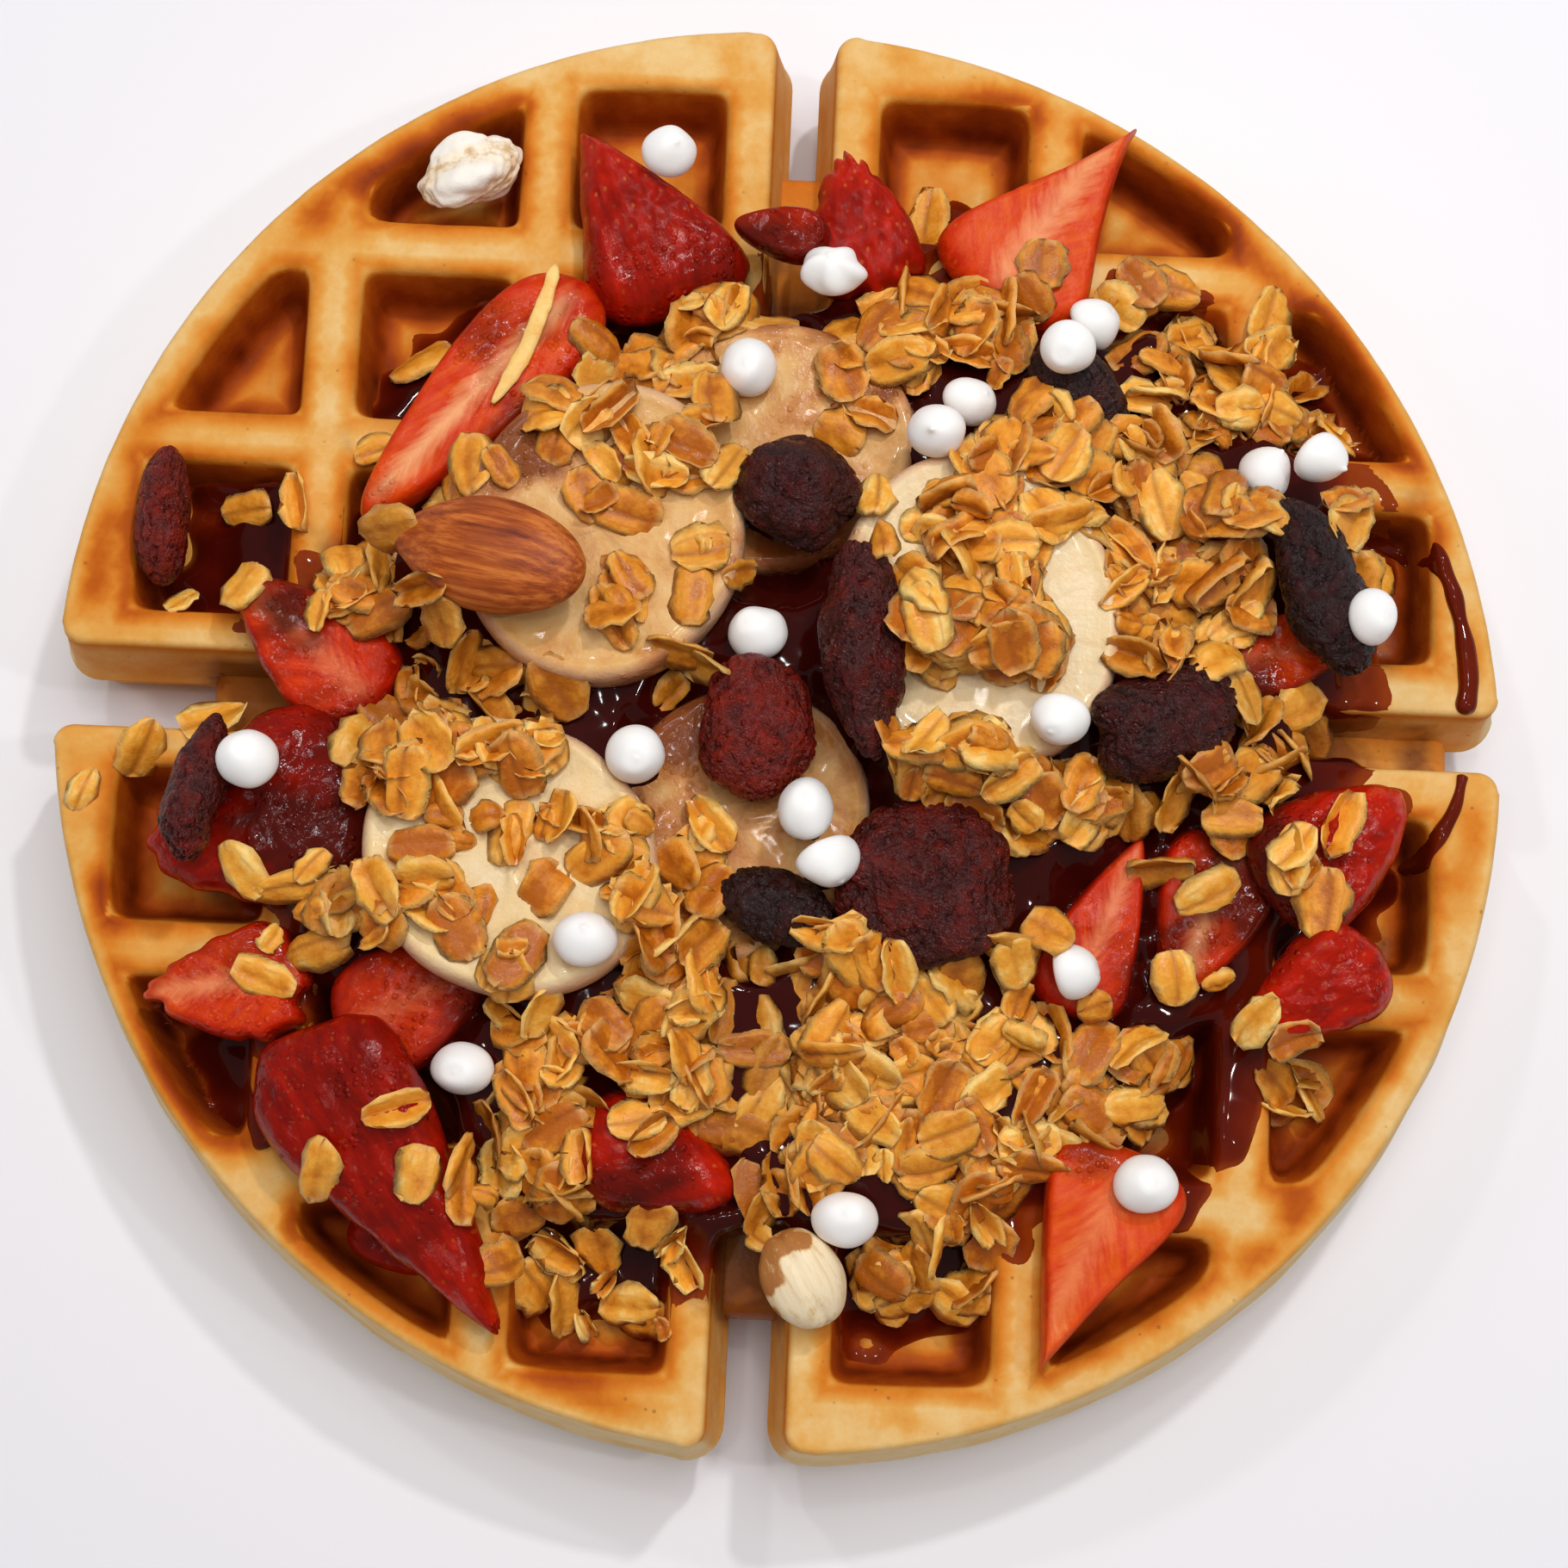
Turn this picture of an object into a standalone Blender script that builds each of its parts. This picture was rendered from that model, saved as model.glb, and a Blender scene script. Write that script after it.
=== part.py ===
"""Belgian waffle in four joined quarters, topped with sliced strawberry and banana,
dried fruit, nuts, white drops and a heap of oat flakes held by fruit syrup.

The origin is the middle of the underside, +Z is up, and the slots between the
quarters run along X and Y. Lengths are given in millimetres and turned into metres.
"""

import math
import random

import bmesh
import bpy
import numpy as np
from mathutils import Matrix, Vector, noise
from mathutils.bvhtree import BVHTree

MM = 0.001
GAP = 0.3

# The waffle: two halves of the iron meet at mid-height, and its walls draft from there
THICK = 25.0
RADIUS = 89.3
OUT_OF_ROUND = 1.2
LONG_WAY = math.radians(135)
DRAFT = 2.0
EDGE_ROUND = 0.8
RIM_CORNER = 4.5
SLOT_HALF = {"right": 1.3, "top": 1.75, "left": 2.9, "bottom": 2.6}
WEB_REACH = {"right": 83, "top": 72, "left": 70, "bottom": 72}
WEB_THICK = 6.0
WEB_OVERLAP = 2.0

# The pockets, three by three in a quarter with the outermost one left out, on both faces
POCKET = 19.0
POCKET_PITCH = 25.3
POCKET_START = 9.4
POCKET_DEEP = 9.5
POCKET_DRAFT = 2.0
POCKET_LIMIT = 84.0
POCKET_FLOOR = THICK - POCKET_DEEP

# The heap: its underside rests over the ridges, and it is a low dome with an uneven edge
HEAP_BASE = THICK + GAP
HEAP_EDGE = 1.5
HEAP_RISE = 7.5
HEAP_REACH = (68, 73, 68, 57, 53, 49, 48, 55, 60, 65, 62, 65, 66, 66, 65, 66)
HEAP_RINGS = (0.3, 0.55, 0.75, 0.88, 0.96, 0.999)
HEAP_FOOT = 0.99
HEAP_UNEVEN = 0.8
PLUG_REACH = 0.97
SYRUP_LEVEL = 20.5
SYRUP_POCKETS = ((-1, 1, 1, 1), (-1, 1, 2, 0), (1, 1, 2, 0), (1, 1, 2, 1), (1, -1, 2, 0), (1, -1, 0, 2),
                 (-1, -1, 0, 2), (-1, -1, 2, 1))

# Strawberry: name, x, y, way the tip points, length, width, thickness,
# and how its sides run to the tip, from 0.5 for an oval to 1 for straight sides
STRAWBERRIES = (
    ("strawberry_01", -18.0, 60.5, 111, 26, 20, 8.5, 0.85),
    ("strawberry_02", 8.0, 61.0, 98, 19, 14, 7.0, 0.65),
    ("strawberry_03", 31.5, 63.5, 57, 29, 20, 6.0, 1.0),
    ("strawberry_04", -38.0, 36.0, 230, 40, 14, 6.0, 0.55),
    ("strawberry_05", -56.0, 5.0, 140, 23, 15, 6.0, 0.6),
    ("strawberry_06", -60.0, -16.0, 200, 28, 23, 7.0, 0.5),
    ("strawberry_07", -63.0, -36.0, 190, 19, 14, 5.5, 0.6),
    ("strawberry_08", -40.5, -36.5, 30, 20, 15, 6.0, 0.5),
    ("strawberry_09", -41.0, -57.5, 307, 42, 20, 7.0, 0.8),
    ("strawberry_10", -42.7, -65.3, 330, 11, 6, 5.0, 0.5),
    ("strawberry_11", -11.5, -54.5, 340, 20, 14, 8.0, 0.5),
    ("strawberry_12", 39.5, -24.5, 68, 24, 12, 6.0, 0.75),
    ("strawberry_13", 51.5, -22.5, 250, 21, 14, 6.0, 0.55),
    ("strawberry_14", 66.0, -14.5, 40, 21, 16, 6.0, 0.5),
    ("strawberry_15", 63.5, -31.0, 215, 18, 13, 5.5, 0.65),
    ("strawberry_16", 38.0, -63.0, 245, 28, 17, 6.0, 0.95),
    ("strawberry_17", 61.0, 9.5, 20, 16, 10, 6.0, 0.5),
    ("strawberry_18", -1.5, 57.5, 170, 12, 6.5, 5.0, 0.5),
)

BASE_BLUNT = 5
# These rest on a neighbour with one end, so their lean is searched for
LEANING = ("strawberry_09", "strawberry_15")

# Banana slice: name, x, y, way of its longer axis, length, width, least height of its underside
BANANAS = (
    ("banana_1", -1.7, 31.5, 20, 35, 31, HEAP_BASE),
    ("banana_2", -4.0, -14.5, 60, 34, 31, HEAP_BASE),
    ("banana_3", -21.5, 18.5, 80, 37, 34, 31.5),
    ("banana_4", 23.0, 11.0, 105, 39, 34, 31.5),
    ("banana_5", -30.0, -20.5, 150, 36, 32, 31.0),
)
BANANA_THICK = 6.5
BANANA_ROUND = 1.6

# Dried fruit: name, x, y, way of its longer axis, length, width, thickness
DRIED_FRUIT = (
    ("cranberry_1", -75.0, 20.5, 92, 17, 7, 8),
    ("cranberry_2", -66.5, -15.0, 82, 18, 7, 7),
    ("cranberry_3", 1.5, 24.9, 150, 15, 13, 8),
    ("cranberry_4", -2.0, -4.3, 120, 16, 14, 8),
    ("cranberry_5", 9.5, 5.0, 96, 24, 10, 8),
    ("cranberry_6", 19.0, -21.2, 10, 21, 19, 8),
    ("cranberry_7", 45.0, -1.9, 20, 19, 14, 9),
    ("raisin_1", 63.5, 15.0, 118, 22, 11, 8),
    ("raisin_2", 34.0, 38.5, 130, 14, 11, 8),
    ("raisin_3", 1.0, -25.0, 160, 13, 9, 6),
)
DRIED_SINK = 1.5

# White drop: x, y of each, with the way its tip leans and how far
DROPS = (
    (-16.3, 66.5, 0, 10), (4.3, 51.7, 90, 15), (-5.0, 40.3, 200, 10), (35.0, 47.5, 30, 60),
    (32.6, 43.0, 250, 30), (20.5, 36.9, 20, 40), (17.6, 32.0, 220, 20), (56.6, 29.7, 60, 45),
    (61.8, 32.4, 320, 70), (68.2, 11.8, 0, 30), (-2.2, 7.1, 140, 20), (-16.1, -7.9, 280, 25),
    (-60.2, -11.6, 90, 15), (33.0, -1.4, 250, 50), (4.1, -14.0, 120, 15), (6.0, -18.2, 300, 75),
    (-20.6, -30.4, 60, 10), (34.0, -31.0, 10, 70), (-34.2, -44.6, 200, 15), (44.6, -54.8, 45, 10),
    (10.4, -60.5, 90, 15),
)
DROP_WIDE = 8.2
DROP_HIGH = 6.0
DROP_SIDES = 7
DROP_SINK = 0.8

# Nuts and the popped cluster: x, y, way, length, width, thickness
ALMOND = (-34.0, 13.6, 168, 24, 13.5, 8.5)
HAZELNUT = (6.0, -67.3, 120, 12, 9.5, 8.0)
POPPED = (-41.0, 65.6, 20, 14, 10.5, 9.0)

# Oat flakes: fields of x, y, spread along x and y and number, then those that lie apart
FLAKE_FIELDS = (
    (50, 30, 13, 11, 30), (33, 33, 12, 12, 20), (-18, 22, 11, 11, 16), (24, 11, 11, 11, 18),
    (-33, -18, 12, 10, 18), (-2, 46, 16, 4, 12), (6, -44, 17, 9, 40), (36, -44, 9, 9, 12),
    (-20, -62, 8, 6, 8), (44, 8, 12, 10, 14), (-48, -2, 7, 12, 10), (20, -40, 12, 8, 12),
)
FLAKES_APART = (
    (16.5, 66.3, 85), (-46.5, 44.0, 35), (-50.5, 30.5, 20), (-66.5, 23.5, 5), (-73.0, 11.0, 40),
    (-82.5, -13.0, 70), (-76.0, -8.0, 60), (71.5, -46.5, 35), (53.0, -30.5, 20), (57.0, -35.5, 50),
    (-19.5, -73.5, 120), (72.0, 20.5, 70), (-49.5, -57.5, 80), (66.0, -12.5, 70), (-56.0, -25.0, 10),
    (70.0, 43.0, 0),
)
FLAKE_LONG = (7.2, 10.2)
FLAKE_WIDE = (0.6, 0.78)
FLAKE_THICK = 2.2
FLAKE_SINK = 0.9
FLAKE_SPACING = 6.9

# Thick drizzle on the rim: the points that each strand passes, its half width, and how far its
# middle lies above the waffle's top
DRIZZLES = (((77, 26), (80.5, 21), (82.5, 14.5), (83.2, 8), (82.6, 3.8)),
            ((82, -6), (80, -11), (76.5, -15.5)))
DRIZZLE_HALF = 1.5
DRIZZLE_LIFT = 0.1

COLOURS = {
    "waffle": (0.62, 0.33, 0.12, 0.75), "granola": (0.55, 0.27, 0.07, 0.6),
    "strawberry": (0.55, 0.03, 0.02, 0.35), "banana": (0.80, 0.62, 0.36, 0.45),
    "cranberry": (0.12, 0.01, 0.012, 0.4), "raisin": (0.035, 0.012, 0.012, 0.4),
    "white_drop": (0.86, 0.84, 0.80, 0.45), "almond": (0.36, 0.13, 0.04, 0.55),
    "hazelnut": (0.72, 0.52, 0.30, 0.5), "popped": (0.82, 0.72, 0.52, 0.75),
}

GRID = 0.6
GRID_REACH = 96.0
ROOM_SIDES = 8
SKY = 80.0


def clear_scene():
    for obj in list(bpy.data.objects):
        bpy.data.objects.remove(obj, do_unlink=True)


def new_collection(name, hidden=False):
    collection = bpy.data.collections.new(name)
    collection.hide_render = hidden
    bpy.context.scene.collection.children.link(collection)
    return collection


def material(name):
    """The kind of food gives the material, which every piece of that kind shares."""
    found = bpy.data.materials.get(name)
    if found:
        return found
    red, green, blue, rough = COLOURS[name]
    made = bpy.data.materials.new(name)
    made.use_nodes = True
    shader = made.node_tree.nodes["Principled BSDF"]
    shader.inputs["Base Color"].default_value = (red, green, blue, 1)
    shader.inputs["Roughness"].default_value = rough
    shader.inputs["Metallic"].default_value = 0
    return made


def object_of(name, bm, collection):
    """A mesh object from a bmesh in millimetres."""
    bmesh.ops.transform(bm, matrix=Matrix.Scale(MM, 4), verts=bm.verts)
    mesh = bpy.data.meshes.new(name)
    bm.to_mesh(mesh)
    bm.free()
    obj = bpy.data.objects.new(name, mesh)
    collection.objects.link(obj)
    return obj


def bmesh_of(obj):
    """The evaluated mesh of an object, in millimetres."""
    graph = bpy.context.evaluated_depsgraph_get()
    mesh = bpy.data.meshes.new_from_object(obj.evaluated_get(graph))
    bm = bmesh.new()
    bm.from_mesh(mesh)
    bpy.data.meshes.remove(mesh)
    bmesh.ops.transform(bm, matrix=Matrix.Scale(1 / MM, 4), verts=bm.verts)
    return bm


def loft(rings):
    """A closed body through rings that have equally many points, capped at both ends."""
    bm = bmesh.new()
    loops = [[bm.verts.new(point) for point in ring] for ring in rings]
    for low, high in zip(loops, loops[1:]):
        for i in range(len(low)):
            j = (i + 1) % len(low)
            bm.faces.new((low[i], low[j], high[j], high[i]))
    bm.faces.new(loops[0])
    bm.faces.new(loops[-1])
    bmesh.ops.recalc_face_normals(bm, faces=bm.faces)
    return bm


def boolean(obj, collection, operation):
    """Applies one Boolean of the collection's objects to obj, then removes those objects.
    The exact solver is slow on a hundred flakes at once, and every body here is closed."""
    modifier = obj.modifiers.new(operation, "BOOLEAN")
    modifier.operand_type = "COLLECTION"
    modifier.collection = collection
    modifier.operation = operation
    modifier.solver = "MANIFOLD"
    graph = bpy.context.evaluated_depsgraph_get()
    mesh = bpy.data.meshes.new_from_object(obj.evaluated_get(graph))
    obj.modifiers.clear()
    obj.data = mesh
    for other in list(collection.objects):
        bpy.data.objects.remove(other, do_unlink=True)
    bpy.data.collections.remove(collection)


def keep_largest_body(obj):
    """Drops loose scraps and the shells of sealed hollows, which so become solid."""
    bm = bmesh.new()
    bm.from_mesh(obj.data)
    bmesh.ops.remove_doubles(bm, verts=bm.verts, dist=1e-6)
    bmesh.ops.triangulate(bm, faces=bm.faces)
    left = set(bm.faces)
    bodies = []
    while left:
        body = set()
        edge = [left.pop()]
        while edge:
            face = edge.pop()
            body.add(face)
            near = {other for side in face.edges for other in side.link_faces} & left
            left -= near
            edge.extend(near)
        volume = sum(f.verts[0].co.dot(f.verts[1].co.cross(f.verts[2].co)) for f in body)
        bodies.append((volume, len(bodies), body))
    bodies.sort(key=lambda entry: entry[:2])
    scraps = [face for _, _, body in bodies[:-1] for face in body]
    bmesh.ops.delete(bm, geom=scraps, context="FACES")
    bm.to_mesh(obj.data)
    bm.free()


def rim_radius(angle):
    """Radius of the waffle at mid-height: a little longer one way than across it."""
    return RADIUS + OUT_OF_ROUND * math.cos(2 * (angle - LONG_WAY))


def arc(centre, radius, start, end, steps):
    """Points along a round stretch of an outline."""
    angles = [start + (end - start) * i / steps for i in range(steps + 1)]
    return [(centre[0] + radius * math.cos(a), centre[1] + radius * math.sin(a)) for a in angles]


def quarter_ring(sx, sy, inset, z):
    """Outline of one quarter of the waffle, moved inwards by inset, at height z."""
    slot_x = SLOT_HALF["top" if sy > 0 else "bottom"]
    slot_y = SLOT_HALF["right" if sx > 0 else "left"]
    reach_high = rim_radius(math.atan2(sy, 0)) - RIM_CORNER
    reach_low = rim_radius(math.atan2(0, sx)) - RIM_CORNER
    high_x, low_y = slot_x + RIM_CORNER, slot_y + RIM_CORNER
    high_y = math.sqrt(reach_high ** 2 - high_x ** 2)
    low_x = math.sqrt(reach_low ** 2 - low_y ** 2)
    start, end = math.atan2(low_y, low_x), math.atan2(high_y, high_x)
    points = [(slot_x + inset, slot_y + inset)]
    points += arc((low_x, low_y), RIM_CORNER - inset, math.radians(-90), start, 3)
    steps = 13
    for i in range(1, steps):
        a = start + (end - start) * i / steps
        radius = rim_radius(math.atan2(sy * math.sin(a), sx * math.cos(a))) - inset
        points.append((radius * math.cos(a), radius * math.sin(a)))
    points += arc((high_x, high_y), RIM_CORNER - inset, end, math.radians(180), 3)
    return [(sx * x, sy * y, z) for x, y in points]


def quarter(sx, sy):
    """One quarter: widest at mid-height, with drafted walls and rounded edges."""
    corner = DRAFT + EDGE_ROUND
    levels = ((0, corner), (EDGE_ROUND, DRAFT), (THICK / 2, 0), (THICK - EDGE_ROUND, DRAFT),
              (THICK, corner))
    return loft([quarter_ring(sx, sy, inset, z) for z, inset in levels])


def web_strip(side):
    """The flat strip of batter that joins the quarters along one slot, as far as it reaches."""
    reach = WEB_REACH[side]
    across = 2 * (SLOT_HALF[side] + WEB_OVERLAP)
    bm = bmesh.new()
    bmesh.ops.create_cube(bm, size=1)
    bmesh.ops.scale(bm, vec=(reach + across / 2, across, WEB_THICK), verts=bm.verts)
    bmesh.ops.translate(bm, vec=((reach - across / 2) / 2, 0, THICK / 2), verts=bm.verts)
    turn = {"right": 0, "top": 90, "left": 180, "bottom": 270}[side]
    bmesh.ops.rotate(bm, cent=(0, 0, 0), matrix=Matrix.Rotation(math.radians(turn), 3, "Z"),
                     verts=bm.verts)
    return bm


def pocket_cells():
    """Signs of the quarter, and column and row counted out from the slots, of every pocket."""
    return [(sx, sy, i, j) for sx in (1, -1) for sy in (1, -1) for i in range(3) for j in range(3)
            if (i, j) != (2, 2)]


def frustum(cell, low, high, shrink):
    """A square block with a pocket's draft, from height low to high, inside the pocket by shrink."""
    sx, sy, i, j = cell
    middle = POCKET_START + POCKET / 2
    at = (sx * (middle + i * POCKET_PITCH), sy * (middle + j * POCKET_PITCH), (low + high) / 2)

    def half(z):
        return POCKET / 2 - shrink - POCKET_DRAFT * (THICK - z) / POCKET_DEEP

    bm = bmesh.new()
    bmesh.ops.create_cone(bm, cap_ends=True, segments=4, radius1=half(low) * math.sqrt(2),
                          radius2=half(high) * math.sqrt(2), depth=high - low,
                          matrix=Matrix.Translation(at) @ Matrix.Rotation(math.radians(45), 4, "Z"))
    return bm


def round_limit(low, high, shrink):
    """A round block that gives the outer pockets a wall parallel to the rim."""
    def radius(z):
        return POCKET_LIMIT - shrink - POCKET_DRAFT * (THICK - z) / POCKET_DEEP

    bm = bmesh.new()
    bmesh.ops.create_cone(bm, cap_ends=True, segments=64, radius1=radius(low), radius2=radius(high),
                          depth=high - low, matrix=Matrix.Translation((0, 0, (low + high) / 2)))
    return bm


def blocks_in_pockets(name, cells, low, high, shrink, collection):
    """One object with a block in each of these pockets, cut where the rim's wall runs."""
    whole = bmesh.new()
    for cell in cells:
        part = bpy.data.meshes.new("block")
        bm = frustum(cell, low, high, shrink)
        bm.to_mesh(part)
        bm.free()
        whole.from_mesh(part)
    made = object_of(name, whole, collection)
    limit = new_collection("limit", hidden=True)
    object_of("round_limit", round_limit(low, high, shrink), limit)
    boolean(made, limit, "INTERSECT")
    return made


def drizzle(points):
    """A strand of thick syrup lying on the rim, as a flattened tube with round ends."""
    curve = bpy.data.curves.new("strand", "CURVE")
    curve.dimensions = "3D"
    curve.bevel_depth = DRIZZLE_HALF * MM
    curve.bevel_resolution = 1
    curve.use_fill_caps = True
    spline = curve.splines.new("POLY")
    spline.points.add(len(points) - 1)
    for at, (x, y) in zip(spline.points, points):
        at.co = (x * MM, y * MM, (THICK + DRIZZLE_LIFT) * MM, 1)
    guide = bpy.data.objects.new("strand", curve)
    bpy.context.scene.collection.objects.link(guide)
    bm = bmesh_of(guide)
    bpy.data.objects.remove(guide, do_unlink=True)
    bmesh.ops.remove_doubles(bm, verts=bm.verts, dist=0.01)
    bmesh.ops.recalc_face_normals(bm, faces=bm.faces)
    return bm


def waffle(parts):
    """The quarters and their web as one body, its pockets on both faces and its drizzle."""
    body = object_of("waffle", quarter(1, 1), parts)
    pieces = new_collection("waffle_pieces", hidden=True)
    for sx, sy in ((1, -1), (-1, 1), (-1, -1)):
        object_of("quarter", quarter(sx, sy), pieces)
    for side in WEB_REACH:
        object_of("web", web_strip(side), pieces)
    boolean(body, pieces, "UNION")
    cutters = new_collection("pockets", hidden=True)
    proud = 1.0
    upper = blocks_in_pockets("upper_pockets", pocket_cells(), POCKET_FLOOR, THICK + proud, 0, cutters)
    lower = bmesh_of(upper)
    bmesh.ops.rotate(lower, cent=(0, 0, THICK / 2), matrix=Matrix.Rotation(math.pi, 3, "X"),
                     verts=lower.verts)
    object_of("lower_pockets", lower, cutters)
    boolean(body, cutters, "DIFFERENCE")
    strands = new_collection("strands", hidden=True)
    for points in DRIZZLES:
        object_of("strand", drizzle(points), strands)
    boolean(body, strands, "UNION")
    return body


def strawberry(length, width, thick, point, seed):
    """A slice or wedge: a drop-shaped outline with a point along +X, rounded over its top."""
    steps = 11
    turns = [math.tau * k / steps for k in range(steps)]
    outline = []
    for t in turns:
        along = (1 - math.cos(t)) / 2
        side = math.copysign(along ** point * math.sqrt(1 - along ** BASE_BLUNT), math.sin(t))
        wobble = 1 + 0.08 * noise.noise(Vector((3 * math.cos(t), 3 * math.sin(t), 5.7 * seed)))
        outline.append((wobble * length / 2 * math.cos(t), wobble * width / 2 * side))
    widest = max(y for _, y in outline) * 2 / width
    outline = [(x, y / widest) for x, y in outline]
    levels = ((0, 0.86), (0.28, 1.0), (0.93, 0.68))
    rings = [[(x * s, y * s, thick * z) for x, y in outline] for z, s in levels]
    bm = loft(rings)
    top = bmesh.ops.poke(bm, faces=[max(bm.faces, key=lambda f: f.calc_center_median().z)])
    bmesh.ops.translate(bm, vec=(0, 0, 0.07 * thick), verts=top["verts"])
    return bm


def banana(length, width):
    """A slice cut a little aslant, so oval, with its two rims rounded over."""
    bm = bmesh.new()
    bmesh.ops.create_cone(bm, cap_ends=True, segments=18, radius1=0.5, radius2=0.5, depth=1)
    bmesh.ops.scale(bm, vec=(length, width, BANANA_THICK), verts=bm.verts)
    rims = [edge for edge in bm.edges if len({round(f.normal.z) for f in edge.link_faces}) > 1]
    bmesh.ops.bevel(bm, geom=rims, offset=BANANA_ROUND, segments=1, affect="EDGES")
    return bm


def dried(length, width, thick, seed):
    """A wrinkled, uneven lump."""
    bm = bmesh.new()
    bmesh.ops.create_uvsphere(bm, u_segments=8, v_segments=5, radius=0.5)
    for vert in bm.verts:
        swell = noise.noise(4.2 * vert.co + Vector((seed, 0, 0)))
        vert.co *= 1 + 0.22 * swell
    bmesh.ops.scale(bm, vec=(length, width, thick), verts=bm.verts)
    return bm


def almond(length, width, thick):
    """An oval nut that narrows to its point along +X."""
    bm = bmesh.new()
    bmesh.ops.create_uvsphere(bm, u_segments=10, v_segments=7, radius=0.5,
                              matrix=Matrix.Rotation(math.radians(90), 4, "Y"))
    for vert in bm.verts:
        taper = 1 - 0.45 * max(0, vert.co.x * 2) ** 2
        vert.co.y *= taper
        vert.co.z *= taper
    bmesh.ops.scale(bm, vec=(length, width, thick), verts=bm.verts)
    return bm


def drop():
    """A flat-bottomed drop with a small tip, turned from its profile."""
    profile = ((0, 0), (0.42, 0), (0.5, 0.2), (0.38, 0.62), (0.1, 0.88), (0, 1.0))
    mesh = bpy.data.meshes.new("profile")
    points = [(r * DROP_WIDE * MM, 0, z * DROP_HIGH * MM) for r, z in reversed(profile)]
    mesh.from_pydata(points, [(i, i + 1) for i in range(len(points) - 1)], [])
    guide = bpy.data.objects.new("profile", mesh)
    bpy.context.scene.collection.objects.link(guide)
    screw = guide.modifiers.new("turn", "SCREW")
    screw.steps = screw.render_steps = DROP_SIDES
    screw.use_merge_vertices = True
    screw.merge_threshold = 0.00001
    bm = bmesh_of(guide)
    bpy.data.objects.remove(guide, do_unlink=True)
    bmesh.ops.remove_doubles(bm, verts=bm.verts, dist=0.01)
    bmesh.ops.recalc_face_normals(bm, faces=bm.faces)
    return bm


def flake(length, width):
    """A rolled oat with few sides: a thin oval lens."""
    bm = bmesh.new()
    bmesh.ops.create_uvsphere(bm, u_segments=7, v_segments=3, radius=0.5)
    bmesh.ops.scale(bm, vec=(length, width, FLAKE_THICK), verts=bm.verts)
    return bm


def heap_reach(angle):
    """Radius of the heap's edge, eased from one control radius to the next."""
    place = (angle / math.tau % 1) * len(HEAP_REACH)
    i = int(place)
    part = place - i
    ease = part * part * (3 - 2 * part)
    return HEAP_REACH[i % len(HEAP_REACH)] * (1 - ease) + HEAP_REACH[(i + 1) % len(HEAP_REACH)] * ease


def heap_top(x, y):
    """Height of the bare heap at a place within its edge."""
    share = min(1, math.hypot(x, y) / heap_reach(math.atan2(y, x)))
    uneven = HEAP_UNEVEN * noise.noise(Vector((x / 11, y / 11, 3.1)))
    return HEAP_BASE + HEAP_EDGE + (HEAP_RISE + uneven) * math.sqrt(1 - share * share)


def heap_ring(share, z=None):
    """Points round the heap at a share of its reach, on its top unless a height is given."""
    steps = 36
    ring = []
    for k in range(steps):
        angle = math.tau * k / steps
        radius = share * heap_reach(angle)
        x, y = radius * math.cos(angle), radius * math.sin(angle)
        ring.append((x, y, heap_top(x, y) if z is None else z))
    return ring


def heap_core():
    """The dome of syrup and oats that fills the room between the pieces."""
    rings = [heap_ring(HEAP_FOOT, HEAP_BASE)] + [heap_ring(share) for share in reversed(HEAP_RINGS)]
    bm = loft(rings)
    top = max(bm.faces, key=lambda face: face.calc_center_median().z)
    bmesh.ops.poke(bm, faces=[top])
    return bm


class Piece:
    """One separate piece of food: its mesh and what is fused to it."""

    def __init__(self, name, kind, bm):
        self.name = name
        self.kind = kind
        self.bm = bm
        self.flakes = []
        self.read()

    def read(self):
        """Makes the search tree again, after the mesh has changed."""
        self.bm.normal_update()
        self.trees = [BVHTree.FromBMesh(self.bm)]


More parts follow.
